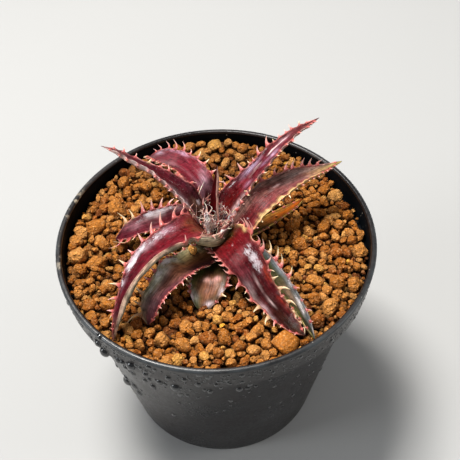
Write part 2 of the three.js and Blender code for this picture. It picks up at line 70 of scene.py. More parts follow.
# ---------------------------------------------------------------- tables
# Leaves: a row of a line is (x, y, z, half width, roll in degrees), with x, y, z the middle of the
# chord between the two margins, the same stations as the CAD blades.
LEAVES = {
    "leaf_centre_needle": dict(thick=1.0, channel=0.45, pitch=3.0, line=(
        (-0.2, 0.2, 83.8, 1.7, 0), (-0.2, 0.4, 88.3, 1.66, 0), (-0.1, 1, 92.7, 1.52, 0),
        (0.2, 1.6, 97.1, 1.29, 0), (0.7, 1.9, 101.5, 1.01, 0), (1.3, 1.9, 106, 0.62, 0),
        (1.7, 1.8, 110.4, 0.08, 0),)),
    "leaf_crown_back_right": dict(thick=0.8, channel=0.4, pitch=1.9, line=(
        (0.6, 1.3, 84, 1.5, 0), (0.8, 1.6, 85.6, 1.48, 0), (0.9, 1.8, 87.1, 1.42, 0),
        (1.2, 2.1, 88.7, 1.3, 0), (1.5, 2.3, 90.2, 1.05, 0), (2, 2.5, 91.7, 0.66, 0),
        (2.6, 2.8, 93.2, 0.08, 0),)),
    "leaf_crown_back_left": dict(thick=0.9, channel=0.4, pitch=2.2, line=(
        (-1.3, 0.6, 83.8, 2, 0), (-1.6, 0.8, 85.9, 1.97, 0), (-1.9, 1, 88.1, 1.9, 0),
        (-2.1, 1.2, 90.3, 1.71, 0), (-2.4, 1.5, 92.4, 1.4, 0), (-2.7, 1.9, 94.5, 0.87, 0),
        (-3.1, 2.4, 96.6, 0.08, 0),)),
    "leaf_crown_front_left": dict(thick=0.9, channel=0.4, pitch=2.2, line=(
        (-0.9, -1.9, 82.8, 2, 0), (-1.2, -2.3, 84.6, 2.09, 0), (-1.5, -2.5, 86.4, 2.1, 0),
        (-1.8, -2.4, 88.3, 1.9, 0), (-2.1, -1.9, 90.1, 1.48, 0), (-2.4, -1, 91.7, 0.9, 0),
        (-2.7, 0.4, 93, 0.1, 0),)),
    "leaf_crown_right": dict(thick=0.9, channel=0.3, pitch=2.0, line=(
        (0.9, 0.1, 84, 1.8, 10), (0.7, 0.5, 85.5, 1.78, 11), (1.3, 0.7, 86.8, 1.74, 13),
        (2.3, 0.7, 88, 1.65, 16), (3.6, 0.4, 88.6, 1.31, 20), (4.8, -0.1, 88.5, 0.81, 20),
        (5.9, -0.9, 87.6, 0.1, 20),)),
    "leaf_crown_front": dict(thick=0.9, channel=0.3, pitch=2.0, line=(
        (0.5, -2, 82.8, 1.7, 0), (0.8, -2.4, 83.8, 1.69, 0), (1.2, -2.8, 85, 1.65, 0),
        (1.8, -3.1, 86, 1.58, 0), (2.6, -3.3, 86.9, 1.35, 0), (3.5, -3.2, 87.5, 0.92, 0),
        (4.6, -3, 87.6, 0.1, 0),)),
    "leaf_back_left_long": dict(thick=1.8, channel=0.34, pitch=3.6, line=(
        (-1, 0.5, 84.2, 3.3, 24), (-3.3, 1.9, 87.6, 3.56, 16), (-5.2, 3, 91.7, 3.76, 1),
        (-7.4, 3.5, 96.4, 3.62, -8), (-10.7, 4.7, 99.6, 3.11, -3), (-14.2, 6.2, 102.3, 2.51, 7),
        (-18, 8.2, 104.1, 2.05, 13), (-22.1, 9.8, 105.6, 1.65, 15), (-26.1, 11.5, 107, 1.24, 14),
        (-30.1, 13.3, 108.4, 0.73, 12), (-34.3, 15.1, 109.1, 0.06, 10))),
    "leaf_back_right_long": dict(thick=1.9, channel=0.3, pitch=4.0, line=(
        (1, 1.2, 82.8, 3.89, 20), (2.4, 6.5, 83.7, 4.43, 13), (5.3, 9.5, 86.9, 4.5, 6),
        (8.7, 10.8, 91.4, 3.95, -3), (12.3, 12.1, 95.4, 3.29, -7), (16, 13.9, 98.6, 2.92, -9),
        (19.6, 15.8, 101.7, 2.53, -8), (23.4, 17.9, 104.2, 2.02, -9), (27.5, 20.7, 105.3, 1.44, -8),
        (31.8, 23.5, 105.7, 0.85, -7), (36, 26.4, 105.6, 0.06, -6))),
    "leaf_back_left_broad": dict(thick=2.1, channel=0.22, pitch=3.5, line=(
        (-0.9, 2.5, 80.8, 3.78, 14), (-1.9, 7.7, 84, 4.14, 16), (-2.4, 9, 90.6, 4.37, 14),
        (-4, 11.2, 95.5, 4.52, 11), (-7.3, 16.2, 96.3, 4.49, 7), (-10.3, 20.6, 95.1, 4.44, 0),
        (-13, 25.1, 92.7, 4.28, -3), (-15.5, 29.3, 89.9, 3.91, -4), (-18.1, 33.5, 87, 3.38, -3),
        (-20.6, 38, 82.8, 2.34, -1), (-22.6, 41.4, 77.6, 0.25, 3))),
    "leaf_front_left_upper": dict(thick=2.3, channel=0.26, pitch=3.7, line=(
        (0.4, -2.1, 81.2, 2.98, 20), (-2.8, -4.2, 87.6, 3.68, 2), (-6.6, -6.5, 93.2, 4.38, -11),
        (-11.8, -9.9, 94.5, 4.54, 1), (-16.8, -13.1, 94, 4.41, 11), (-21.2, -16.9, 93.8, 4.21, 16),
        (-25.2, -21.2, 91.8, 3.81, 25), (-28.3, -25.3, 88.5, 3.27, 36), (-30.6, -28.4, 83.6, 2.4, 40),
        (-32.3, -31.8, 78.9, 1.34, 36), (-33.3, -34.6, 73.6, 0.2, 25))),
    "leaf_left": dict(thick=1.9, channel=0.26, pitch=3.6, line=(
        (-0.6, 0.1, 78.9, 3.68, 21), (-2.4, 2.9, 80.8, 4, 19), (-5.4, 3.9, 84.7, 4.21, 11),
        (-9.1, 3.8, 87.8, 4.16, 4), (-13.3, 3.7, 87.6, 4.01, 2), (-17.3, 3.6, 86.2, 3.94, -1),
        (-21.3, 3.5, 85.2, 3.78, -7), (-24.9, 3.5, 83.8, 3.41, -10), (-28.1, 4, 81.4, 2.91, -13),
        (-31.1, 4.6, 78.8, 2.06, -14), (-33.5, 5.6, 75.3, 0.25, -15))),
    "leaf_right": dict(thick=2.1, channel=0.24, pitch=3.6, line=(
        (2.4, -0.9, 79.8, 2.54, 8), (6.3, -0.7, 84, 3.12, 14), (10, 0.9, 86.3, 3.81, 20),
        (12.8, 3, 89.2, 4.33, 19), (16.2, 5.9, 91.1, 4.74, 15), (20.3, 8.9, 91.7, 4.72, 4),
        (24.9, 11.7, 91.9, 4.33, -3), (29.5, 13.6, 92.5, 3.54, -6), (34.1, 15.4, 92.2, 2.56, -8),
        (38.7, 17.2, 92.3, 1.43, -10), (43.3, 19.2, 92.2, 0.12, -9))),
    "leaf_front_right_upper": dict(thick=2.3, channel=0.24, pitch=3.5, line=(
        (0.9, -1.9, 81.2, 5.03, 11), (3.2, -6.1, 85.3, 5.73, 22), (5.5, -10.8, 87, 5.73, 21),
        (7.8, -14.9, 86.8, 5.47, 16), (10.1, -18.1, 85, 5.04, 10), (12.2, -21.2, 82.1, 4.6, 4),
        (14.3, -24.6, 80, 4.14, 0), (16.9, -28.1, 78.5, 3.57, -1), (19.4, -31.6, 76.9, 3.04, 1),
        (22.1, -35.1, 76, 2.15, 3), (25.3, -38.6, 76.1, 0.25, 3))),
    "leaf_front_right_lower": dict(thick=1.9, channel=0.24, pitch=3.8, line=(
        (1.7, -1.1, 76.6, 4.5, 5), (4.5, -1.7, 77.9, 4.21, 0), (7.7, -3.3, 78.9, 3.71, -5),
        (11.5, -5.7, 79.5, 3.11, -12), (15, -9.4, 78.7, 2.5, -18), (17.9, -13.9, 77.4, 2.61, -18),
        (20.5, -18.8, 76.8, 2.82, -16), (22.8, -23.8, 76.3, 2.73, -17), (24.7, -29, 76.3, 2.28, -19),
        (26.5, -34.3, 76.1, 1.49, -20), (28.1, -39.3, 75, 0.16, -20))),
    "leaf_front_left_lower": dict(thick=2.0, channel=0.24, pitch=3.4, line=(
        (-1.4, -2.3, 77.6, 4.54, -2), (-4, -6.2, 79.4, 4.93, -1), (-7.2, -9.2, 80.7, 5.02, 0),
        (-9.4, -12.3, 82.6, 5.03, 0), (-11.5, -15.1, 84.8, 4.99, -2), (-13.9, -17.8, 85.6, 4.87, -4),
        (-16.3, -20.8, 84.4, 4.23, -1), (-18.9, -24.3, 83.9, 3.47, -1), (-21, -27, 81.7, 2.91, -7),
        (-22.2, -28.7, 77.5, 1.93, -14), (-22.7, -29.4, 73.7, 0.25, -18))),
    "leaf_front_low": dict(thick=1.8, channel=0.2, pitch=3.4, line=(
        (-0.8, -2.4, 74.6, 4.37, 4), (-1.3, -4.9, 75, 4.67, 4), (-1.7, -7.1, 76, 4.95, 4),
        (-2.1, -9.3, 77.2, 5.25, 3), (-2.5, -11.5, 78.2, 5.49, 3), (-2.7, -13.9, 78.7, 5.66, 2),
        (-3, -16.5, 78.7, 5.77, 1), (-3.6, -18.8, 78.1, 5.54, 0), (-4.4, -20.9, 77, 4.95, -2),
        (-5, -22.7, 75.3, 3.89, -5), (-5.4, -24, 73.2, 1.93, -7),)),
    "leaf_right_old": dict(thick=1.1, channel=0.16, pitch=3.6, line=(
        (2.6, 1.3, 76.4, 3.57, -11), (5.5, 2.9, 76.2, 3.56, -12), (8.4, 4.5, 75.8, 3.55, -13),
        (11.3, 6.2, 75.3, 3.53, -15), (14.2, 7.9, 74.9, 3.45, -17), (16.9, 9.8, 74.5, 3.28, -20),
        (19.6, 11.8, 74.3, 3.16, -22), (22.4, 13.7, 74.3, 2.96, -22), (25.3, 15.5, 74.4, 2.55, -22),
        (28.1, 17.3, 74.5, 1.8, -21), (30.7, 19.5, 74.6, 0.6, -20),)),
}

# Granules of the top layer whose place and size matter: (x, y, radius).
GRANULES = (
    (19.8, -38, 4.6), (-24.1, 39.9, 3.49), (-40.9, 12.7, 3.4), (-33.8, 20.3, 3.4), (-39.1, -2.7, 3.33),
    (-45.8, -0.4, 3.32), (34.7, -27.5, 2.98), (26.1, 7.7, 2.9), (0.5, -36, 2.86), (37.7, -17.5, 2.72),
    (47, -5.5, 2.72), (1.6, 47.4, 2.67), (-18.1, -35.8, 2.61), (-12.2, -38.5, 2.6), (27.7, -1, 2.59),
    (42, 20, 2.56), (-35.2, -21.9, 2.55), (43.3, -19.1, 2.52), (36.6, 6.1, 2.51), (30, -31.8, 2.5),
    (-37.1, 3.8, 2.39), (31.3, -16.2, 2.37), (-4.2, -36.5, 2.37), (11.1, -34.1, 2.33), (-31.4, 31.5, 2.32),
    (-23.9, 29.2, 2.3), (-7.6, 47.1, 2.29), (-45.4, 10.1, 2.27), (-19.1, 24.3, 2.26), (22.8, 38, 2.24),
    (29.9, -23.3, 2.21), (-31.2, 36.3, 2.17), (26.7, 2.8, 2.15), (39.7, -5.4, 2.14), (45.2, 11, 2.13),
    (9.5, -41.6, 2.11), (31.3, 4.5, 2.09), (38.8, 23.5, 2.06), (-11.3, -30.7, 2.05), (31.1, -4.9, 2.04),
    (34.4, 16.6, 2.04), (-46.5, 6.2, 2.04), (-41.1, -20.4, 2.03), (-25, -37, 2.03), (-35, -13.5, 2),
    (6, -32.4, 1.99), (36.1, 13, 1.99), (4.8, 37.9, 1.98), (44.7, 3.5, 1.97), (5.3, -39.8, 1.97),
    (-13.5, -43.5, 1.97), (11.7, 45, 1.93), (-38, 21.1, 1.92), (45.3, -1.1, 1.9), (40.7, 10.5, 1.89),
    (41.8, 6.7, 1.89), (13.3, -39.6, 1.88), (1.8, -28.3, 1.88), (-22.1, -33.4, 1.88), (26.1, 38.7, 1.88),
    (-1.2, -41.8, 1.87), (-35.5, 28.7, 1.85), (36.3, -3.8, 1.84), (-26.4, -29.4, 1.83), (-8, -36.5, 1.81),
    (10.3, 40, 1.81), (2, -45.8, 1.8), (45.1, -11.8, 1.79), (-1, -29.5, 1.79), (40.4, 13.7, 1.79),
    (38.2, 17.5, 1.79), (-3.7, 48.1, 1.77), (35.8, 2, 1.74), (44.9, 15, 1.73), (8.9, -36.9, 1.72),
    (42.8, -6, 1.72), (-27.5, 19, 1.72), (-11.9, 46.8, 1.71), (-14.1, -30.1, 1.7), (-44, 17.2, 1.7),
    (25.2, -5.8, 1.69), (-48.1, 3.6, 1.69), (32.8, -11.5, 1.67), (-26.1, -33.5, 1.66), (34.4, -20.5, 1.66),
    (6.4, 47.7, 1.66), (28.8, 36.4, 1.66), (-20, -41, 1.65), (-39.8, 18.7, 1.6), (-44.9, -16.2, 1.6),
    (30.6, -8, 1.6), (-28.6, -32, 1.59), (33.5, -1.4, 1.59), (6.4, -45.6, 1.58), (-5.7, -43.1, 1.57),
    (39, 26.3, 1.57), (39.9, 0.8, 1.56), (1.6, -23.3, 1.56), (30.7, 13.6, 1.55), (-38.2, 24.5, 1.55),
    (9.3, 46.4, 1.54), (-11.4, -23.3, 1.53), (40.6, -9, 1.52), (-45.8, 13.9, 1.51), (-26.6, -20.2, 1.5),
    (-41.4, -11.2, 1.5), (-17.5, 29.2, 1.49), (21.8, 0.6, 1.48), (-41.8, 20.4, 1.48), (-14.4, 28.9, 1.48),
    (35.1, -6.7, 1.47), (-5, -31.5, 1.46), (39.9, 3.5, 1.44), (5.6, -29.1, 1.42), (38.4, 9.6, 1.41),
    (32.6, 21.5, 1.41), (25.7, -15, 1.4), (-37.1, -15, 1.4), (-31.1, -2.6, 1.39), (8.9, -30.9, 1.38),
    (15.2, -43.1, 1.37), (-22.3, 23.3, 1.37), (36.8, -13.2, 1.34), (-14.1, -27.4, 1.31),
    (-40.4, -14.3, 1.31), (-9.6, -25.1, 1.3), (-44.1, -7, 1.29), (39.8, -24.1, 1.28), (24.8, -9.2, 1.25),
    (-6, -27.2, 1.25), (22.3, 34.5, 1.24), (3.9, -30.2, 1.23), (40.6, -15.4, 1.23), (-37.8, -7.2, 1.21),
    (42, -0.1, 1.2), (-41.8, 6.4, 1.18), (-40, -6.3, 1.16), (2.9, -43.5, 1.16), (29.4, -10.6, 1.16),
    (42.7, 2, 1.16), (-16.5, -40.3, 1.15), (-8.5, -29.3, 1.13), (5.5, -34.7, 1.13), (-26.3, -16.4, 1.13),
    (43.3, -10.4, 1.12), (-42.6, -22.6, 1.12), (5.5, 32.4, 1.08), (-6.9, -33.3, 1.08), (-42.7, -18.1, 1.08),
    (-28.2, 34.4, 1.06), (-40.3, 1.9, 1.06), (41, -12.1, 1.05), (-29.2, -23.3, 1.04), (-11.4, -44.6, 1.03),
    (-30.3, -35.2, 1.02), (0.2, -31.9, 1.02), (47.6, 0.1, 1.02), (-4.9, -45.7, 1.01), (-43.5, -5.1, 1.01),
    (-35.5, -1.9, 1.01), (28.3, -4.6, 1), (-39.8, 4.1, 1), (-2.1, -32.9, 1), (18.5, 2.4, 0.99),
    (31.2, 0.6, 0.99), (-29.2, 17.2, 0.97), (32.7, 13.8, 0.97), (-34.1, 10.4, 0.96),
)

# Spines whose place matters: (tip x, tip y, foot x, foot y, kind) in pixels of the 460 pixel frame, one
# list for each margin. "+" is the margin on the left hand seen from the leaf's base to its tip.
# kind 0 is coral, 1 coral with a cream tip, 2 cream.
SPINES = {
    "leaf_front_left_upper": {
        "-": [(194, 203, 192, 213, 0), (186.5, 205.5, 184, 217, 0), (177.5, 204.5, 175.5, 219, 0),
              (160.5, 211.5, 164, 227, 0), (151.5, 221.5, 153.5, 234.5, 0), (137.5, 232.5, 144, 241, 0),
              (127.5, 249.5, 134, 254.5, 0), (118.5, 259.5, 126.5, 265, 1), (108, 283.5, 118, 286, 1),
              (107.5, 300, 114.5, 299.5, 0), (106.5, 310.5, 113, 312, 0), (109.5, 319.5, 112.5, 315.5, 1)],
        "+": [(185, 234.5, 184, 241, 0), (203.5, 230.5, 196.5, 236.5, 0)],
    },
    "leaf_front_left_lower": {
        "-": [(158, 257.5, 163.6, 264.4, 1), (150.5, 267, 156.4, 271.6, 0), (143.5, 276.5, 150.8, 281, 0),
              (135, 285.5, 143.8, 294, 2), (132.5, 299.5, 141, 304.8, 2), (126, 324, 139.4, 316, 2)],
        "+": [(157, 308.5, 153, 312.5, 1), (155, 318, 150, 318, 0)],
    },
    "leaf_front_low": {
        "-": [(185.5, 279, 189.5, 281.5, 2), (185.5, 284, 189.5, 286, 1), (187, 290.5, 190.5, 291.5, 0)],
        "+": [(231, 276, 227, 278, 0), (232.5, 285.5, 227.5, 286, 0), (226.5, 297, 222, 295, 2)],
    },
    "leaf_front_right_upper": {
        "-": [(204.5, 247, 208.5, 250, 0), (207.5, 251.5, 212, 254, 0), (211, 255.5, 215.5, 257.5, 0),
              (214.5, 260, 219, 261.5, 0), (218.5, 264.5, 223.5, 266, 0), (223, 269, 230, 272.5, 0),
              (235.5, 290, 243, 282, 0), (245.5, 297, 255, 297.5, 1), (253, 312.5, 260.5, 306.5, 2),
              (265, 325.5, 269.5, 317.5, 2)],
        "+": [(256.5, 234.5, 254, 246, 0), (262.5, 238.5, 258.5, 251.5, 0), (271, 256.5, 265.5, 264, 0),
              (240, 218, 241, 229, 0), (244.5, 219, 245, 232, 0), (248.5, 220, 248, 235, 0),
              (278.5, 276, 270.5, 279.5, 2), (290.5, 289.5, 279, 289.5, 2), (297, 306.5, 286.5, 302.5, 2),
              (294.5, 324.5, 291.5, 313, 2), (305, 335, 298, 323.5, 2)],
    },
    "leaf_front_right_lower": {
        "+": [(269, 239.5, 270.5, 250.5, 2), (278, 246.5, 276, 257.5, 1), (281, 253, 281.5, 265, 1),
              (292, 265.5, 288, 275, 1)],
        "-": [],
    },
    "leaf_left": {
        "-": [(179.5, 200, 176.5, 208.5, 0), (174.5, 198, 168.5, 207.5, 0), (163, 197, 160.5, 210, 0),
              (151, 199, 152, 210, 0), (140.5, 201, 143, 212.5, 0), (128.5, 209, 131, 217.5, 2),
              (117, 212.5, 124, 222.5, 2)],
        "+": [(113, 241.5, 129.3, 236.5, 1), (107.5, 249, 122, 240.5, 0)],
    },
    "leaf_back_left_long": {
        "-": [(151.5, 158.5, 148.4, 163.5, 2), (164.5, 165.5, 158.5, 168.5, 0), (183.5, 178, 176, 178.5, 0),
              (197.5, 183.5, 188.5, 187, 0)],
        "+": [],
    },
    "leaf_back_left_broad": {
        "-": [(153, 148.5, 155, 152, 0), (157.5, 144.5, 159.5, 150, 0), (165.5, 140.5, 167, 148, 0),
              (173, 138.5, 174, 147.3, 0), (182.5, 141, 182, 150, 0), (191, 148.5, 189, 155, 0),
              (201, 150.5, 196.2, 157, 1), (209.5, 158.5, 201, 166, 1), (217, 169, 208.5, 174, 0),
              (226, 182.5, 216, 184, 0)],
        "+": [],
    },
    "leaf_back_right_long": {
        "+": [(224.5, 174.5, 233, 182, 0), (237, 162.5, 243, 171.5, 0), (257, 146, 259, 155, 0),
              (266.5, 135.5, 268, 145.5, 0), (278, 133.5, 281, 138.5, 0)],
        "-": [],
    },
    "leaf_right": {
        "+": [(262.4, 171.5, 262.5, 182, 0), (276, 166.5, 276.5, 175.5, 0), (288, 161.5, 287.2, 170.4, 0),
              (294.3, 159.5, 293.5, 167.2, 0), (304.6, 157.5, 303.9, 166.4, 0), (312, 157.6, 311, 165.6, 0),
              (322.8, 159.3, 318.2, 164.8, 0), (244, 191, 250, 193, 1), (231.5, 213.5, 238, 210.5, 1)],
        "-": [(243.5, 217, 246, 229, 0), (263, 222.5, 258, 218, 2), (272, 209.5, 267.5, 207, 2),
              (291, 198.5, 287.5, 194.5, 2)],
    },
}

# How each leaf looks: run is its colour from base to tip, plus and minus the colour of the two flanks
# and how far they cover it, under its lower side, rims the colours of the two margins, then the length
# in mm and the pitch of the spines that are not in the table above, on each margin.
# pale is a list of waxy patches, partly painted highlights where the wax shines, (u, across, length, width, strength)
# with u from 0 at the base.
LOOKS = {
    "leaf_front_left_upper": dict(
        run=((0, 0x542A18), (0.16, 0x5A2818), (0.28, 0x5C1018), (0.42, 0x580814), (0.62, 0x460612),
             (0.85, 0x3E0814), (1, 0x6A4A3E)),
        plus=(0x580A1A, 0.5), minus=(0x5E1E26, 0.5), under=0x86826C, rims=(0xD8B29A, 0xC87A72), belly=1.55,
        grown=((0.0, 3.6), (1.6, 3.0)),
        pale=((0.595, -0.62, 0.062, 0.26, 0.92), (0.505, -0.78, 0.05, 0.22, 0.85), (0.42, -0.66, 0.08, 0.34, 0.62),
              (0.71, -0.78, 0.04, 0.22, 0.8), (0.33, -0.45, 0.05, 0.3, 0.42)),
        bloom=((0.45, -0.62, 0.09, 0.30, 0.45, 0xA08088), (0.58, -0.74, 0.11, 0.26, 0.62, 0xBCA8B0), (0.20, -0.2, 0.09, 0.7, 0.5, 0x6A3420), (0.36, -0.60, 0.05, 0.30, 0.35, 0x9A6474),
               (0.70, -0.85, 0.06, 0.25, 0.6, 0xB89AA8), (0.55, 0.75, 0.30, 0.22, 0.45, 0xB04A50), (0.12, 0.0, 0.10, 0.8, 0.4, 0x6A3A2C)),
        scurf=0.10, mid=0.0),
    "leaf_front_left_lower": dict(
        run=((0, 0x34220E), (0.18, 0x74482A), (0.35, 0x9C6240), (0.6, 0x805246), (0.8, 0x70464C), (1, 0x6C3E48)),
        plus=(0x562A32, 1.0), minus=(0x8E8A68, 0.95), under=0x6A6650, rims=(0xC8766E, 0xB0988A), belly=0.0,
        grown=((1.3, 2.0), (1.5, 3.0)),
        pale=((0.47, -0.78, 0.06, 0.24, 0.95), (0.58, -0.72, 0.05, 0.24, 0.85), (0.37, -0.76, 0.05, 0.22, 0.6), (0.72, -0.60, 0.05, 0.2, 0.5)),
        bloom=((0.46, -0.66, 0.10, 0.30, 1.0, 0xF2F0E6), (0.60, -0.72, 0.07, 0.24, 0.9, 0xDAD8CC), (0.70, -0.72, 0.08, 0.26, 0.5, 0x9A9C90), (0.30, -0.4, 0.12, 0.5, 0.3, 0x8A7A4A), (0.84, -0.35, 0.10, 0.6, 0.6, 0x84706E)),
        lines=((0.50, -0.20, 0.80, -0.22, 0.07, 0.6),), scurf=0.08, mid=0.0),
    "leaf_front_low": dict(
        run=((0, 0x15140A), (0.40, 0x2A2A10), (0.52, 0x6A4632), (0.64, 0x84523C), (0.78, 0x8A5640), (1, 0x8A6448)),
        plus=(0x4A3A24, 0.9), minus=(0x4C5024, 1.0), under=0x4A4A30, rims=(0xB08A7C, 0xA89484), belly=0.0,
        grown=((1.3, 2.6), (1.3, 2.6)),
        pale=((0.74, -0.92, 0.05, 0.12, 0.9), (0.86, -0.92, 0.06, 0.16, 1.0), (0.64, -0.94, 0.04, 0.10, 0.8), (0.72, 0.90, 0.05, 0.12, 0.8)),
        # the first two bloom patches are a painted highlight on the middle of the leaf
        bloom=((0.59, 0.0, 0.045, 0.38, 0.9, 0xDCA698), (0.57, 0.30, 0.032, 0.26, 0.7, 0xD09890), (0.87, -0.75, 0.07, 0.30, 0.9, 0xDCDAD2),
               (0.94, 0.45, 0.05, 0.35, 0.85, 0xDCC8CC), (0.80, -0.2, 0.10, 0.4, 0.5, 0xA87454), (0.74, 0.7, 0.06, 0.25, 0.6, 0xB8A0A0)),
        scurf=0.10, mid=0.0),
    "leaf_front_right_upper": dict(
        run=((0, 0x3A2410), (0.06, 0x4A2410), (0.11, 0x56100C), (0.2, 0x640A10), (0.30, 0x580A12), (0.45, 0x3A0A0E),
             (0.65, 0x300A0A), (0.85, 0x281008), (1, 0x2A180C)),
        plus=(0x4A0E16, 0.6), minus=(0x4A1418, 0.5), under=0x5E4A3C, rims=(0xD09080, 0xD89084), belly=0.0,
        grown=((1.5, 2.6), (2.0, 2.2)),
        pale=((0.33, 0.36, 0.040, 0.24, 0.80), (0.385, 0.48, 0.050, 0.30, 0.86), (0.435, 0.48, 0.045, 0.32, 0.82), (0.475, 0.38, 0.03, 0.16, 0.72),
              (0.30, 0.62, 0.03, 0.16, 0.66), (0.20, -0.02, 0.012, 0.05, 0.9), (0.71, -0.84, 0.03, 0.16, 0.6), (0.80, -0.86, 0.025, 0.14, 0.5)),
        bloom=((0.53, -0.70, 0.045, 0.26, 0.5, 0xA89092), (0.595, -0.74, 0.035, 0.20, 0.5, 0xAC9894), (0.43, -0.35, 0.07, 0.40, 0.25, 0x8E4A54),
               (0.39, 0.50, 0.09, 0.26, 0.25, 0xB88A94), (0.69, -0.80, 0.04, 0.24, 0.45, 0xC0A0A4), (0.78, -0.86, 0.03, 0.2, 0.4, 0xCDBABC),
               (0.60, 0.78, 0.18, 0.18, 0.5, 0x8E2A18), (0.07, 0.55, 0.05, 0.6, 0.7, 0x5A4A22)),
        lines=((0.47, -0.02, 0.74, -0.02, 0.035, 0.55), (0.49, -0.20, 0.72, -0.16, 0.030, 0.4)), scurf=0.12, mid=0.0,
        ridge=(1, 0.02, 0.29, 0xEACB88, 0.56)),
    "leaf_front_right_lower": dict(
        run=((0, 0x24240F), (0.35, 0x30321A), (0.50, 0x3A3820), (0.62, 0x4A3A2A), (0.74, 0x3E3224), (0.88, 0x26261A), (1, 0x3A3424)),
        plus=(0x464C4E, 1.0), minus=(0x484A20, 0.8), under=0x5C5A3E, rims=(0xA08C84, 0xA08A5C), belly=0.0,
        grown=((1.2, 4.0), (0.9, 3.4)),
        pale=((0.78, 0.35, 0.05, 0.14, 0.85), (0.70, 0.55, 0.06, 0.16, 0.75), (0.56, 0.80, 0.06, 0.14, 0.6)),
        bloom=((0.47, 0.82, 0.12, 0.24, 0.5, 0x868E92), (0.66, 0.62, 0.10, 0.22, 0.65, 0xA09A96), (0.62, -0.05, 0.09, 0.3, 0.5, 0x9A7A64),
               (0.76, 0.30, 0.06, 0.25, 0.6, 0x9E968E)), scurf=0.14, mid=0.0),
    "leaf_left": dict(
        run=((0, 0x3E1412), (0.25, 0x56181E), (0.5, 0x5A1620), (0.75, 0x50141E), (1, 0x400E1A)),
        plus=(0x561622, 0.5), minus=(0x603036, 0.6), under=0x352A26, rims=(0xC09488, 0xD08A86), belly=0.0,
        grown=((1.5, 3.2), (1.8, 3.2)),
        bloom=((0.58, -0.76, 0.13, 0.34, 0.85, 0xCDB8B8), (0.78, -0.3, 0.08, 0.6, 0.4, 0xA07078), (0.5, 0.75, 0.2, 0.25, 0.4, 0xA8707A)),
        pale=((0.62, -0.74, 0.055, 0.28, 1.0), (0.53, -0.80, 0.05, 0.24, 0.95), (0.72, -0.52, 0.05, 0.3, 0.5),
              (0.45, -0.84, 0.03, 0.2, 0.8)), scurf=0.10, mid=0.0),
    "leaf_back_left_long": dict(
        run=((0, 0x3A2E22), (0.16, 0x48281E), (0.3, 0x420C14), (0.6, 0x420E14), (0.82, 0x40161A), (1, 0x30201C)),
        plus=(0x6C5A5C, 0.7), minus=(0x4E1826, 0.7), under=0x6E665A, rims=(0xD8B0A8, 0xCC8A84), belly=0.0,
        grown=((1.5, 2.6), (2.0, 2.8)),
        pale=((0.26, 0.78, 0.07, 0.14, 0.9), (0.40, 0.70, 0.08, 0.14, 0.8), (0.53, 0.62, 0.07, 0.16, 0.75),
              (0.66, 0.5, 0.08, 0.16, 0.7), (0.80, 0.3, 0.08, 0.2, 0.6), (0.19, -0.55, 0.03, 0.2, 0.8),
              (0.47, -0.1, 0.10, 0.08, 0.5)),
        bloom=((0.19, -0.3, 0.07, 0.5, 0.5, 0x8A6A58), (0.30, 0.82, 0.04, 0.2, 0.8, 0xD8C4C4), (0.44, 0.82, 0.04, 0.2, 0.8, 0xD0B8BC),
               (0.58, 0.82, 0.04, 0.22, 0.7, 0xC8AEB4), (0.70, 0.7, 0.05, 0.3, 0.6, 0xB8A0A8), (0.90, 0.0, 0.08, 0.8, 0.5, 0x5A4A46)),
        scurf=0.22, mid=0.0, ridge=(1, 0.16, 0.93, 0xC4AEA8, 0.50)),
    "leaf_back_left_broad": dict(
        run=((0, 0x42161A), (0.2, 0x5A1E24), (0.36, 0x601420), (0.55, 0x5C1420), (0.72, 0x5E242C), (1, 0x5A3036)),
        plus=(0x54141C, 0.6), minus=(0x6A2228, 0.5), under=0x6A5C54, rims=(0xC8805E, 0xD0807E), belly=0.0,
        grown=((1.5, 3.0), (1.9, 3.2)),
        pale=((0.30, -0.30, 0.05, 0.05, 0.9), (0.50, 0.05, 0.010, 0.05, 1.0)),
        bloom=((0.80, -0.55, 0.08, 0.45, 0.55, 0xA58A9C), (0.62, -0.86, 0.10, 0.22, 0.5, 0xB48AA0), (0.42, -0.80, 0.07, 0.26, 0.6, 0xC09AAC),
               (0.26, -0.20, 0.08, 0.55, 0.55, 0xA07884), (0.20, 0.2, 0.06, 0.6, 0.45, 0x946A78), (0.55, 0.45, 0.22, 0.5, 0.30, 0x8E5A60)), scurf=0.16, mid=0.0),
    "leaf_back_right_long": dict(
        run=((0, 0x4A0E0A), (0.18, 0x54100E), (0.34, 0x60121A), (0.5, 0x58141E), (0.7, 0x5A1A22), (0.85, 0x4C1A1E),
             (1, 0x3A1618)),
        plus=(0x562228, 0.7), minus=(0x5A2A30, 0.7), under=0x6E625A, rims=(0xD88E88, 0xCDA39A), belly=0.0,
        grown=((1.7, 2.8), (2.1, 2.7)),
        pale=((0.28, 0.72, 0.05, 0.10, 0.7), (0.24, -0.84, 0.10, 0.12, 0.8), (0.60, 0.86, 0.05, 0.10, 0.6)),
        bloom=((0.46, 0.70, 0.09, 0.28, 0.65, 0xA58EA6), (0.60, 0.72, 0.06, 0.26, 0.5, 0xA894A2), (0.22, -0.78, 0.10, 0.26, 0.8, 0xD8B6B4),
               (0.38, -0.35, 0.04, 0.3, 0.5, 0xA67890), (0.50, -0.30, 0.05, 0.28, 0.6, 0xA884A0), (0.62, -0.25, 0.04, 0.28, 0.55, 0xA8849A),
               (0.72, 0.3, 0.04, 0.3, 0.4, 0xA87A86), (0.90, -0.5, 0.10, 0.5, 0.5, 0x9A6A64)),
        lines=((0.40, 0.16, 0.76, 0.30, 0.06, 0.9),), scurf=0.18, mid=0.0),
    "leaf_right": dict(
        run=((0, 0x3C0A0E), (0.2, 0x5A161A), (0.45, 0x6E3232), (0.7, 0x7C4E48), (0.88, 0x8A7048), (1, 0x929044)),
        plus=(0x74544C, 0.9), minus=(0x6A2A2E, 0.7), under=0x70684A, rims=(0xC08A82, 0xDCB878), belly=0.0,
        grown=((1.4, 3.2), (1.3, 2.3)),
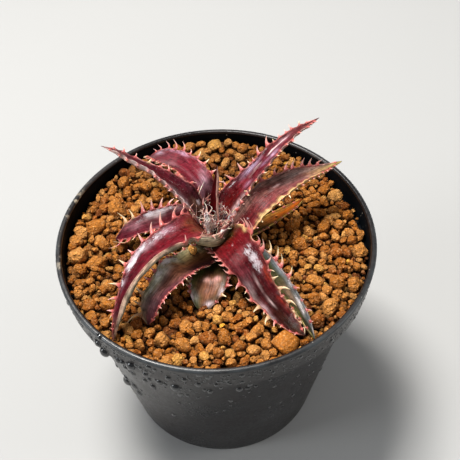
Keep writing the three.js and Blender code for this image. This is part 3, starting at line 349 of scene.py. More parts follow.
        bloom=((0.70, 0.45, 0.13, 0.6, 0.6, 0x96807A), (0.42, 0.45, 0.09, 0.4, 0.35, 0x866456), (0.62, -0.45, 0.10, 0.4, 0.3, 0x8A5656)),
        lines=((0.36, -0.02, 0.56, 0.30, 0.05, 0.45),),
        pale=((0.22, 0.0, 0.010, 0.04, 0.9), (0.30, -0.2, 0.008, 0.03, 0.9),
              (0.36, 0.2, 0.008, 0.03, 0.8), (0.27, 0.35, 0.008, 0.03, 0.8), (0.46, -0.1, 0.05, 0.02, 0.5)),
        scurf=0.22, mid=0.0, ridge=(-1, 0.12, 0.84, 0xCDAA74, 1.00)),
    "leaf_right_old": dict(
        run=((0, 0x2E2C12), (0.30, 0x4A4420), (0.50, 0x7A441A), (0.75, 0x9A4A08), (1, 0x8A3C08)),
        plus=(0x6A5C26, 0.5), minus=(0x584E20, 0.5), under=0x7A5A2A, rims=(0xC9A24C, 0xC9A85A), belly=0.0,
        grown=((0.7, 3.4), (0.7, 2.6)),
        pale=((0.5, 0.0, 0.12, 0.4, 0.1),), scurf=0.06, mid=0.0),
    "leaf_centre_needle": dict(
        run=((0, 0x5C0C12), (0.4, 0x5A080E), (0.8, 0x48080C), (1, 0x340A0C)),
        plus=(0x4C080E, 0.3), minus=(0x5A0E14, 0.3), under=0x4A1C1E, rims=(0x6A2428, 0xF0BEAE), belly=0.0,
        grown=((0.0, 3.0), (0.0, 3.0)), pale=(), bloom=((0.45, -0.92, 1.6, 0.34, 1.3, 0xF4C2B0),), scurf=0.02, mid=0.0),
    "leaf_crown_back_right": dict(
        run=((0, 0x6A4E4A), (0.5, 0x5E2A34), (1, 0x8A5A56)), plus=(0x8A6A6C, 0.6), minus=(0x8A6A6C, 0.6),
        under=0x7A6660, rims=(0xE0C0B4, 0xE0C0B4), belly=0.0, grown=((1.4, 2.0), (1.6, 2.0)),
        pale=((0.4, 0, 0.3, 0.8, 0.6),), scurf=0.6, mid=0.0),
    "leaf_crown_back_left": dict(
        run=((0, 0x5A3434), (0.5, 0x561E2A), (1, 0x7A4A4C)), plus=(0x7A5054, 0.6), minus=(0x7A5054, 0.6),
        under=0x7A6660, rims=(0xDCA8A0, 0xDCA8A0), belly=0.0, grown=((1.4, 2.2), (1.4, 2.2)),
        pale=((0.5, 0, 0.3, 0.8, 0.5),), scurf=0.5, mid=0.0),
    "leaf_crown_front_left": dict(
        run=((0, 0xCCC2BE), (0.5, 0xD8CECA), (1, 0xB08A86)), plus=(0xCABEB8, 0.6), minus=(0xCABEB8, 0.6),
        under=0x9A8E86, rims=(0xE0B4AA, 0xE0B4AA), belly=0.0, grown=((1.3, 2.2), (1.5, 2.2)),
        pale=((0.5, 0, 0.4, 0.9, 0.9),), scurf=1.0, mid=0.0),
    "leaf_crown_right": dict(
        run=((0, 0x5A2A34), (0.5, 0x54202E), (1, 0x7A4A50)), plus=(0x9A8488, 0.8), minus=(0x4E1C2A, 0.5),
        under=0x7A6A68, rims=(0xE8D8CC, 0xE0B0A8), belly=0.0, grown=((2.0, 1.6), (1.0, 1.7)),
        pale=((0.5, 0.7, 0.4, 0.3, 0.8),), scurf=0.5, mid=0.0),
    "leaf_crown_front": dict(
        run=((0, 0x7A6A62), (0.5, 0x8A7870), (1, 0x7A5450)), plus=(0x9A8A84, 0.6), minus=(0x9A8A84, 0.6),
        under=0x8A7670, rims=(0xE0B0A8, 0xE0B0A8), belly=0.0, grown=((1.2, 2.2), (1.3, 2.2)),
        pale=((0.5, 0, 0.3, 0.8, 0.8),), scurf=0.9, mid=0.0),
}
SLOTS = {n: "leaf_red" for n in LOOKS}
SLOTS.update({n: "leaf_olive" for n in ("leaf_front_left_lower", "leaf_front_low", "leaf_front_right_lower")})
SLOTS["leaf_right_old"] = "leaf_dry"
SLOTS.update({n: "leaf_young" for n in LOOKS if "crown" in n or "needle" in n})
CORAL, CREAM, PALE_CORAL = 0xC05A55, 0xEFD6AC, 0xEDB6A8
EDGE = 0.22


# ---------------------------------------------------------------- small tools
def linear(code):
    c = np.array([(code >> 16) & 255, (code >> 8) & 255, code & 255]) / 255.0
    return np.where(c <= 0.04045, c / 12.92, ((c + 0.055) / 1.055) ** 2.4)


def unit(v):
    v = np.asarray(v, float)
    return v / np.maximum(np.linalg.norm(v, axis=-1, keepdims=True), 1e-12)


def smooth(lo, hi, x):
    t = np.clip((np.asarray(x, float) - lo) / (hi - lo), 0, 1)
    return t * t * (3 - 2 * t)


def blend(a, b, t):
    t = np.asarray(t)[..., None]
    return a * (1 - t) + b * t


def build_mesh(name, verts, faces, attributes=None, materials=(), face_material=None, shade_smooth=True):
    """A mesh object from millimetre vertices and an (n, 3) or (n, 4) array of faces, or a list of such arrays."""
    groups = [np.asarray(f, np.int32) for f in (faces if isinstance(faces, list) else [faces]) if len(f)]
    sizes = np.concatenate([np.full(len(g), g.shape[1], np.int32) for g in groups])
    corners = np.concatenate([g.ravel() for g in groups])
    mesh = bpy.data.meshes.new(name)
    mesh.vertices.add(len(verts))
    mesh.vertices.foreach_set("co", (np.asarray(verts, np.float32) * MM).ravel())
    mesh.loops.add(len(corners))
    mesh.loops.foreach_set("vertex_index", corners)
    mesh.polygons.add(len(sizes))
    starts = np.concatenate([[0], np.cumsum(sizes)[:-1]]).astype(np.int32)
    mesh.polygons.foreach_set("loop_start", starts)
    for m in materials:
        mesh.materials.append(m)
    if face_material is not None:
        mesh.polygons.foreach_set("material_index", np.asarray(face_material, np.int32))
    mesh.update(calc_edges=True)
    mesh.validate()
    for key, data in (attributes or {}).items():
        data = np.asarray(data, np.float32)
        if data.ndim == 1:
            mesh.attributes.new(key, "FLOAT", "POINT").data.foreach_set("value", data)
        elif key.startswith("col"):
            rgba = np.concatenate([data, np.ones((len(data), 1), np.float32)], 1)
            mesh.attributes.new(key, "FLOAT_COLOR", "POINT").data.foreach_set("color", rgba.ravel())
        else:
            mesh.attributes.new(key, "FLOAT_VECTOR", "POINT").data.foreach_set("vector", data.ravel())
    mesh.polygons.foreach_set("use_smooth", np.full(len(sizes), shade_smooth))
    obj = bpy.data.objects.new(name, mesh)
    bpy.context.scene.collection.objects.link(obj)
    return obj


class Wave:
    """Smooth repeatable noise over any number of coordinates: a sum of sines."""

    def __init__(self, seed, dims, terms=9, low=0.6, high=2.2):
        r = np.random.default_rng(seed)
        self.k = unit(r.normal(size=(terms, dims))) * r.uniform(low, high, (terms, 1))
        self.p = r.uniform(0, 2 * math.pi, terms)
        self.s = math.sqrt(2 / terms)

    def __call__(self, x):
        return self.s * np.sin(np.asarray(x) @ self.k.T + self.p).sum(-1)


# ---------------------------------------------------------------- node helpers
class Graph:
    def __init__(self, name):
        self.mat = bpy.data.materials.new(name)
        self.mat.use_nodes = True
        self.tree = self.mat.node_tree
        self.tree.nodes.clear()
        self.out = self.new("ShaderNodeOutputMaterial")
        self.shader = self.new("ShaderNodeBsdfPrincipled")
        self.tree.links.new(self.shader.outputs[0], self.out.inputs[0])

    def new(self, kind, **props):
        n = self.tree.nodes.new(kind)
        for k, v in props.items():
            setattr(n, k, v)
        return n

    def put(self, socket, value):
        if isinstance(value, bpy.types.NodeSocket):
            self.tree.links.new(value, socket)
        elif isinstance(value, (tuple, list, np.ndarray)):
            value = [float(v) for v in value]
            n = len(socket.default_value)
            socket.default_value = value[:n] + [1.0] * (n - len(value))
        else:
            socket.default_value = value

    def attribute(self, name, output="Fac"):
        return self.new("ShaderNodeAttribute", attribute_name=name).outputs[output]

    def coords(self):
        return self.new("ShaderNodeTexCoord").outputs["Object"]

    def scaled(self, vector, x, y, z):
        n = self.new("ShaderNodeVectorMath", operation="MULTIPLY")
        self.put(n.inputs[0], vector)
        n.inputs[1].default_value = (x, y, z)
        return n.outputs[0]

    def noise(self, vector, scale, detail=2.0, rough=0.5, distortion=0.0):
        n = self.new("ShaderNodeTexNoise")
        self.put(n.inputs["Vector"], vector)
        n.inputs["Scale"].default_value = scale
        n.inputs["Detail"].default_value = detail
        n.inputs["Roughness"].default_value = rough
        n.inputs["Distortion"].default_value = distortion
        return n.outputs["Fac"]

    def voronoi(self, vector, scale, feature="F1", output="Distance", randomness=1.0):
        n = self.new("ShaderNodeTexVoronoi", feature=feature)
        self.put(n.inputs["Vector"], vector)
        n.inputs["Scale"].default_value = scale
        n.inputs["Randomness"].default_value = randomness
        return n.outputs[output]

    def math(self, op, a, b=0.0, clamp=False):
        n = self.new("ShaderNodeMath", operation=op, use_clamp=clamp)
        self.put(n.inputs[0], a)
        self.put(n.inputs[1], b)
        return n.outputs[0]

    def span(self, value, a, b, c=0.0, d=1.0, smoothly=False):
        n = self.new("ShaderNodeMapRange", interpolation_type="SMOOTHSTEP" if smoothly else "LINEAR")
        self.put(n.inputs[0], value)
        for i, v in enumerate((a, b, c, d)):
            self.put(n.inputs[i + 1], v)
        return n.outputs[0]

    def mix(self, factor, a, b, how="MIX"):
        n = self.new("ShaderNodeMix", data_type="RGBA", blend_type=how)
        self.put(n.inputs[0], factor)
        self.put(n.inputs[6], a)
        self.put(n.inputs[7], b)
        return n.outputs[2]

    def ramp(self, value, stops, how="LINEAR"):
        n = self.new("ShaderNodeValToRGB")
        n.color_ramp.interpolation = how
        e = n.color_ramp.elements
        while len(e) < len(stops):
            e.new(0.5)
        for item, (at, colour) in zip(e, stops):
            item.position = at
            item.color = (*colour, 1.0)
        self.put(n.inputs[0], value)
        return n.outputs[0]

    def grey(self, value):
        n = self.new("ShaderNodeCombineColor")
        for i in range(3):
            self.put(n.inputs[i], value)
        return n.outputs[0]

    def bump(self, height, distance, strength=1.0, normal=None):
        n = self.new("ShaderNodeBump")
        n.inputs["Strength"].default_value = strength
        n.inputs["Distance"].default_value = distance
        self.put(n.inputs["Height"], height)
        if normal is not None:
            self.put(n.inputs["Normal"], normal)
        return n.outputs[0]

    def set(self, **values):
        for k, v in values.items():
            self.put(self.shader.inputs[k.replace("_", " ")], v)
        return self.mat


# ---------------------------------------------------------------- materials
def leaf_material(name, roughness=0.31, coat=0.0, streak=0.36, speckle=(0.66, 0.61, 0.58)):
    g = Graph(name)
    colour = g.attribute("col_skin", "Color")
    skin = g.attribute("skin", "Vector")  # mm along the leaf, mm across it, side
    along = g.scaled(skin, 0.14, 2.4, 1.0)
    fine = g.scaled(skin, 0.35, 6.5, 1.0)
    streaks = g.noise(along, 1.0, 3.0, 0.55, 0.4)
    lines = g.noise(fine, 1.0, 2.0, 0.5, 0.2)
    mottle = g.noise(g.scaled(skin, 1, 1, 1), 0.55, 3.0, 0.6)
    value = g.span(streaks, 0.30, 0.70, 1 - 1.3 * streak, 1 + 1.3 * streak)
    value = g.math("MULTIPLY", value, g.span(lines, 0.30, 0.70, 0.70, 1.30))
    value = g.math("MULTIPLY", value, g.span(mottle, 0.3, 0.7, 0.60, 1.40))
    c = g.mix(1.0, colour, g.grey(value), "MULTIPLY")
    # pale threads of wax that run with the leaf
    thread = g.span(g.noise(g.scaled(skin, 0.20, 4.6, 1.7), 1.0, 2.0, 0.6, 0.5), 0.66, 0.76, 0.0, 1.0, True)
    thread = g.math("MULTIPLY", thread, g.span(g.noise(g.scaled(skin, 0.4, 0.7, 2.7), 1.0, 2.0), 0.45, 0.62, 0.0, 1.0, True))
    under = g.attribute("under")
    amount = g.math("MULTIPLY", thread, g.span(under, 0, 1, 0.26, 0.45))
    c = g.mix(amount, c, (0.54, 0.40, 0.36))
    # waxy patches with crisp, torn edges, partly painted highlights where the wax shines
    pale = g.attribute("pale")
    torn = g.math("ADD", pale, g.span(g.noise(g.scaled(skin, 0.85, 3.2, 3.1), 1.0, 5.0, 0.72, 1.0), 0.28, 0.72, -0.70, 0.42))
    broken = g.span(torn, 0.30, 0.52, 0.0, 1.0, True)
    broken = g.math("MULTIPLY", broken, g.span(pale, 0.05, 0.9, 0.25, 0.96), True)
    # the wax is cracked into curling flakes
    crack = g.math("ABSOLUTE", g.math("SUBTRACT", g.noise(g.scaled(skin, 1.1, 1.9, 2.3), 1.0, 2.0, 0.5, 1.6), 0.5))
    broken = g.math("MULTIPLY", broken, g.span(crack, 0.004, 0.034, 0.22, 1.0, True))
    c = g.mix(broken, c, g.mix(g.noise(g.scaled(skin, 2.5, 5.0, 1.1), 1.0, 2.0), (0.44, 0.35, 0.40), (0.94, 0.90, 0.92)))
    # scales: tiny pale flecks
    scurf = g.attribute("scurf")
    fleck = g.voronoi(g.scaled(skin, 2.1, 3.6, 1.0), 1.0)
    fleck = g.math("MULTIPLY", g.span(fleck, 0.14, 0.28, 1.0, 0.0, True), g.span(g.noise(skin, 0.9, 2.0, 0.6), 0.44, 0.62, 0.0, 1.0))
    fleck = g.math("MULTIPLY", fleck, g.math("MULTIPLY", scurf, 1.5), True)
    c = g.mix(fleck, c, speckle)
    height = g.math("ADD", g.math("MULTIPLY", lines, 0.6), g.math("MULTIPLY", streaks, 0.5))
    height = g.math("ADD", height, g.math("MULTIPLY", fleck, 0.5))
    height = g.math("ADD", height, g.math("MULTIPLY", broken, 0.8))
    rough = g.math("ADD", g.span(mottle, 0.3, 0.7, roughness - 0.06, roughness + 0.10), g.math("MULTIPLY", fleck, 0.25))
    rough = g.math("ADD", rough, g.math("MULTIPLY", broken, 0.30), True)
    return g.set(
        Base_Color=c, Roughness=rough, Normal=g.bump(height, 0.00020, 0.6),
        Coat_Weight=coat, Coat_Roughness=0.15, Specular_IOR_Level=0.08,
    )


def spine_material(name):
    g = Graph(name)
    colour = g.attribute("col_skin", "Color")
    at = g.coords()
    value = g.span(g.noise(at, 1500, 3.0, 0.6), 0.3, 0.7, 0.82, 1.15)
    c = g.mix(1.0, colour, g.grey(value), "MULTIPLY")
    return g.set(
        Base_Color=c, Roughness=g.span(g.noise(at, 900, 2.0), 0.3, 0.7, 0.30, 0.46),
        Normal=g.bump(g.noise(at, 3200, 3.0), 0.00008, 0.5), Specular_IOR_Level=0.5,
        Subsurface_Weight=0.12, Subsurface_Scale=0.0012,
    )


def clay_material(name):
    g = Graph(name)
    at = g.coords()
    tint = g.attribute("tint")
    stops = (
        (0.00, linear(0x64300C)), (0.22, linear(0x82440E)), (0.45, linear(0x985A1A)), (0.62, linear(0xAA6C2C)),
        (0.80, linear(0xBA8244)), (0.93, linear(0xC08A3E)), (1.00, linear(0xDA9C34)),
    )
    c = g.ramp(tint, stops)
    coarse = g.noise(at, 620, 4.0, 0.62, 0.3)
    fine = g.noise(at, 2600, 4.0, 0.65)
    knobs = g.span(g.voronoi(at, 880), 0.05, 0.62, 1.0, 0.0, True)
    grains = g.span(g.voronoi(at, 2100), 0.05, 0.60, 1.0, 0.0, True)
    crust = g.span(g.noise(at, 1500, 2.0, 0.5), 0.52, 0.66, 0.0, 1.0)
    value = g.math("MULTIPLY", g.span(coarse, 0.28, 0.72, 0.96, 1.74), g.span(fine, 0.3, 0.7, 0.72, 1.26))
    # painted shade: the gaps between the knobs and grains are darker
    value = g.math("MULTIPLY", value, g.span(knobs, 0, 1, 0.74, 1.16))
    value = g.math("MULTIPLY", value, g.span(grains, 0, 1, 0.84, 1.08))
    value = g.math("MULTIPLY", value, g.attribute("shade"))
    c = g.mix(g.math("MULTIPLY", crust, 0.30), c, linear(0xD8A874))
    c = g.mix(1.0, c, g.grey(value), "MULTIPLY")
    height = g.math("ADD", g.math("MULTIPLY", coarse, 1.5), g.math("MULTIPLY", fine, 0.6))
    height = g.math("ADD", height, g.math("MULTIPLY", knobs, 0.9))
    height = g.math("ADD", height, g.math("MULTIPLY", grains, 0.3))
    height = g.math("MULTIPLY", height, g.span(g.attribute("calm"), 0, 1, 1.0, 0.38))
    return g.set(
        Base_Color=c, Roughness=g.span(coarse, 0.3, 0.7, 0.46, 0.76), Normal=g.bump(height, 0.00065, 0.9),
        Specular_IOR_Level=0.18,
    )


def pot_material(name):
    g = Graph(name)
    at = g.coords()
    cloud = g.noise(at, 55, 4.0, 0.6)
    fine = g.noise(at, 900, 3.0, 0.6)
    grain = g.noise(g.scaled(at, 1, 1, 0.25), 420, 3.0, 0.6)
    base = g.mix(g.span(cloud, 0.35, 0.7), linear(0x100C0C), linear(0x1E1716))
    base = g.mix(g.math("MULTIPLY", g.span(grain, 0.5, 0.75), 0.22), base, linear(0x343232))
    specks = g.math("MULTIPLY", g.span(g.voronoi(at, 420), 0.05, 0.11, 1.0, 0.0, True), g.span(g.noise(at, 130, 2.0), 0.52, 0.62, 0.0, 1.0))
    base = g.mix(g.math("MULTIPLY", specks, 0.8), base, linear(0x9A968E))
    stain = g.math("MULTIPLY", g.attribute("stain"), g.span(g.noise(at, 260, 4.0, 0.7, 0.8), 0.54, 0.66, 0.0, 1.0, True), True)
    base = g.mix(stain, base, linear(0xB9A88E))
    # painted highlight: a pale bluish sheen along the top of the lip, standing in for a reflection
    painted_lip_sheen = g.math("MULTIPLY", g.attribute("painted_lip_sheen"), g.span(g.noise(at, 180, 3.0, 0.6), 0.34, 0.62, 0.25, 1.0), True)
    base = g.mix(painted_lip_sheen, base, linear(0x50585C))
    rough = g.span(cloud, 0.3, 0.7, 0.24, 0.40)
    rough = g.math("ADD", rough, g.math("MULTIPLY", stain, 0.4))
    rough = g.math("ADD", rough, g.span(fine, 0.35, 0.7, -0.03, 0.07), True)
    height = g.math("ADD", g.math("MULTIPLY", grain, 0.5), g.math("MULTIPLY", fine, 0.35))
    height = g.math("ADD", height, g.math("MULTIPLY", stain, 0.6))
    return g.set(Base_Color=base, Roughness=rough, Normal=g.bump(height, 0.00012, 0.6), Specular_IOR_Level=0.45)


def pot_inside_material(name):
    g = Graph(name)
    at = g.coords()
    cloud = g.noise(at, 70, 4.0, 0.6)
    grain = g.noise(g.scaled(at, 1, 1, 0.25), 420, 3.0, 0.6)
    # painted shade: the inside of the same black plastic is darker than the outside, against light bounced from the
    # granules
    base = g.mix(g.span(cloud, 0.35, 0.7), linear(0x05070A), linear(0x0B0F13))
    dust = g.math("MULTIPLY", g.span(g.voronoi(at, 420), 0.05, 0.13, 1.0, 0.0, True), g.span(g.noise(at, 130, 2.0), 0.50, 0.60, 0.0, 1.0))
    base = g.mix(g.math("MULTIPLY", dust, 0.8), base, linear(0xA09A90))
    return g.set(
        Base_Color=base, Roughness=g.span(cloud, 0.3, 0.7, 0.55, 0.70), Specular_IOR_Level=0.04,
        Normal=g.bump(g.math("ADD", grain, g.math("MULTIPLY", dust, 0.8)), 0.00012, 0.6),
    )


def water_material(name):
    g = Graph(name)
    at = g.coords()
    c = g.mix(g.noise(at, 300, 2.0), linear(0x08090B), linear(0x121519))
    return g.set(Base_Color=c, Roughness=0.07, Specular_IOR_Level=1.0, Normal=g.bump(g.noise(at, 700, 1.0), 0.00004, 0.3))


def bark_material(name):
    g = Graph(name)
    at = g.coords()
    rings = g.noise(g.scaled(at, 1, 1, 4.0), 320, 4.0, 0.6)
    fine = g.noise(g.scaled(at, 1, 1, 0.4), 1800, 4.0, 0.6)
    c = g.ramp(rings, ((0.25, linear(0x2A1C12)), (0.5, linear(0x5A4230)), (0.75, linear(0x8A7458))))
    c = g.mix(1.0, c, g.grey(g.span(fine, 0.3, 0.7, 0.7, 1.2)), "MULTIPLY")
    return g.set(Base_Color=c, Roughness=0.9, Normal=g.bump(g.math("ADD", rings, fine), 0.0006, 0.8))


def floor_material(name):
    g = Graph(name)
    at = g.coords()
    c = g.mix(g.noise(at, 3.0, 2.0), (0.42, 0.42, 0.413), (0.435, 0.435, 0.428))
    return g.set(Base_Color=c, Roughness=0.8, Specular_IOR_Level=0.1)


MATS = {
    "leaf_red": leaf_material("leaf_skin_red"),
    "leaf_olive": leaf_material("leaf_skin_olive", 0.32, 0.05, 0.32),
    "leaf_dry": leaf_material("leaf_skin_dry", 0.55, 0.0, 0.35),
    "leaf_young": leaf_material("leaf_skin_young", 0.45, 0.0, 0.25, (0.78, 0.72, 0.68)),
    "spine": spine_material("spine_coral"),
    "clay": clay_material("baked_clay"),
    "pot": pot_material("black_plastic"),
    "pot_inside": pot_inside_material("black_plastic_inside_shaded"),
    "water": water_material("water_drops"),
    "bark": bark_material("stem_bark"),
    "floor": floor_material("pale_floor"),
}


# ---------------------------------------------------------------- leaves
def spline(points, t):
    """Centripetal Catmull-Rom through the points, at each t from 0 to 1."""
    n = len(points)
    p = np.clip(t, 0, 1) * (n - 1)
    i = np.minimum(np.floor(p).astype(int), n - 2)
    w = (p - i)[:, None]
    q = np.vstack([2 * points[0] - points[1], points, 2 * points[-1] - points[-2]])
    x0, x1, x2, x3 = q[i], q[i + 1], q[i + 2], q[i + 3]
    d0, d1, d2 = (np.maximum(np.sum((b - a) ** 2, 1, keepdims=True) ** 0.25, 1e-4) for a, b in ((x0, x1), (x1, x2), (x2, x3)))
    t1 = ((x1 - x0) / d0 - (x2 - x0) / (d0 + d1) + (x2 - x1) / d1) * d1
    t2 = ((x2 - x1) / d1 - (x3 - x1) / (d1 + d2) + (x3 - x2) / d2) * d1
    return x1 + w * t1 + w**2 * (-3 * x1 + 3 * x2 - 2 * t1 - t2) + w**3 * (2 * x1 - 2 * x2 + t1 + t2)


class Blade:
    """The frame of a leaf: points, directions and half widths along its line."""

    def __init__(self, spec, step=0.36):
        line = np.array(spec["line"], float)
        pts = line[:, :3]
        t = np.linspace(0, 1, 801)
        p = spline(pts, t)
        s = np.concatenate([[0], np.cumsum(np.linalg.norm(np.diff(p, axis=0), axis=1))])
        self.length = s[-1]
        n = max(28, int(self.length / step))
        self.s = np.linspace(0, self.length, n)
        tt = np.interp(self.s, s, t)
        self.u = self.s / self.length
        self.p = spline(pts, tt)
        tangent = unit(spline(pts, np.clip(tt + 1e-3, 0, 1)) - spline(pts, np.clip(tt - 1e-3, 0, 1)))
        lead = pts[-1] - pts[0]
        lead = unit(np.array([lead[0], lead[1], 0]))
        flat = unit(tangent * [1, 1, 0] + 0.35 * lead)
        w0 = np.stack([-flat[:, 1], flat[:, 0], np.zeros(n)], 1)
        w0 = unit(w0 - np.sum(w0 * tangent, 1, keepdims=True) * tangent)
        n0 = np.cross(tangent, w0)
        at = tt * (len(line) - 1)
        k = np.arange(len(line))
        roll = np.radians(np.interp(at, k, line[:, 4]))[:, None]
        half = np.interp(at, k, line[:, 3])
        # the widths between stations are eased, so that the outline has no corners
        kernel = np.hanning(13)
        kernel /= kernel.sum()
        padded = np.concatenate([2 * half[0] - half[6:0:-1], half, 2 * half[-1] - half[-2:-8:-1]])
        self.half = np.maximum(np.convolve(padded, kernel, "valid"), 0.05)
        self.tangent = tangent
        self.across = np.cos(roll) * w0 + np.sin(roll) * n0
        self.up = np.cos(roll) * n0 - np.sin(roll) * w0
        self.depth = spec["channel"] * self.half
        self.body = np.minimum(spec["thick"], self.half * 1.1) * (1 - 0.72 * self.u**1.6)

    def at(self, s):
        """Everything at one arc position."""
        def g(a):
            return np.array([np.interp(s, self.s, a[:, i]) for i in range(3)])
        return g(self.p), unit(g(self.tangent)), unit(g(self.across)), unit(g(self.up)), float(np.interp(s, self.s, self.half))


def spine_mesh(foot, out, along, up, tip, width, thick, sides=8, rings=10, hook=0.35):
    """A curved spine from a broad flat foot on the margin to a sharp point."""
    reach = np.linalg.norm(tip - foot)
    p0 = foot - 0.55 * out
    p1 = foot + out * reach * 0.42
    p2 = tip - unit(tip - foot - out * reach * 0.25) * reach * hook
    t = np.linspace(0, 1, rings)[:, None] ** 0.9
    c = (1 - t) ** 3 * p0 + 3 * (1 - t) ** 2 * t * p1 + 3 * (1 - t) * t**2 * p2 + t**3 * tip
    d = unit(-3 * (1 - t) ** 2 * p0 + 3 * ((1 - t) ** 2 - 2 * (1 - t) * t) * p1 + 3 * (2 * (1 - t) * t - t**2) * p2 + 3 * t**2 * tip + 1e-9)
    major = unit(along[None] - np.sum(along * d, 1, keepdims=True) * d)
    minor = np.cross(d, major)
    q = 1 - t
    wide = 0.5 * width * (0.56 * q**0.8 + 0.62 * q**6) + 0.02 * q
    flat = 0.5 * thick * (0.66 * q**0.85 + 0.34 * q**2) + 0.02 * q
    a = np.linspace(0, 2 * math.pi, sides, endpoint=False)
    v = c[:-1, None] + wide[:-1, None] * np.cos(a)[None, :, None] * major[:-1, None] + flat[:-1, None] * np.sin(a)[None, :, None] * minor[:-1, None]
    verts = np.concatenate([v.reshape(-1, 3), tip[None], c[:1]])
    k = np.arange(sides)
    j = (k + 1) % sides
    quads = np.concatenate([np.stack([r * sides + k, r * sides + j, (r + 1) * sides + j, (r + 1) * sides + k], 1) for r in range(rings - 2)])
    last = (rings - 2) * sides
    tris = np.concatenate([
        np.stack([last + k, last + j, np.full(sides, len(verts) - 2)], 1),
        np.stack([j, k, np.full(sides, len(verts) - 1)], 1),
    ])
    where = np.concatenate([np.repeat(t[:-1, 0], sides), [1.0, 0.0]])
    return verts, quads, tris, where


def place_spines(name, blade, spec, look, rng):
    """The spines of a leaf: (margin sign, arc position, tip point, width, thickness, kind)."""
    found = []
    table = SPINES.get(name, {})
    for key, sign in (("+", 1), ("-", -1)):
        margin = blade.p + sign * blade.across * blade.half[:, None]
        flat = project(margin)
        taken = []
        for tx, ty, fx, fy, kind in table.get(key, ()):
            near = np.argmin(np.hypot(flat[:, 0] - fx, flat[:, 1] - fy) + 1e3 * (blade.u > 0.985))
            s = blade.s[near]
            p, along, across, up, half = blade.at(s)
            foot = p + sign * across * half
            out = sign * across
            ray = sight(tx, ty)
            e1 = unit(np.cross(ray, [0, 0, 1.0]))
            e2 = np.cross(ray, e1)
            gap = np.linalg.norm(project(foot)[0] - (tx, ty)) / 3.0
            aim = out * 0.75 * max(gap, 1.6) + up * 0.45 * max(gap, 1.6) + along * 0.1 * gap
            rows = np.array([e1 * 9, e2 * 9, [1, 0, 0], [0, 1, 0], [0, 0, 1]])
            want = np.array([e1 @ (EYE - foot) * 9, e2 @ (EYE - foot) * 9, *aim])
            d = np.linalg.lstsq(rows, want, rcond=None)[0]
            size = np.linalg.norm(d)
            if size > 6.5:
                d = d * 6.5 / size
            taken.append(s)
            found.append((sign, s, foot + d, (0.82 if kind == 2 else 1.0) * (1.18 + 0.23 * min(size, 4.5)), 0.66, kind))
        length, pitch = look["grown"][0 if sign > 0 else 1]
        if length <= 0:
            continue
        s = pitch * rng.uniform(0.3, 0.7) + (1.2 if "crown" not in name else 0.4)
        end = blade.length - (2.2 if "crown" not in name else 0.6)
        while s < end:
            if all(abs(s - q) > 0.72 * max(pitch, 2.6 if "crown" not in name else 0.8) for q in taken):
                p, along, across, up, half = blade.at(s)
                out = sign * across
                ease = min(1.0, (blade.length - s) / (0.25 * blade.length) + 0.25) * min(1.0, 0.45 + s / (0.16 * blade.length))
                size = length * ease * rng.uniform(0.5, 1.5)
                foot = p + out * half
                lean = rng.uniform(-0.15, 0.75)
                d = size * unit(out * 1.0 + along * lean + up * rng.uniform(0.15, 0.6))
                kind = 1 if rng.random() < 0.35 else 0
                small = 0.5 if "crown" in name else 1.0
                found.append((sign, s, foot + d, small * (0.78 + 0.26 * size), 0.56 * small, kind))
            s += pitch * rng.uniform(0.55, 1.45)
    return found


UNDERSIDES = []  # points under the leaves, which the granules keep clear of


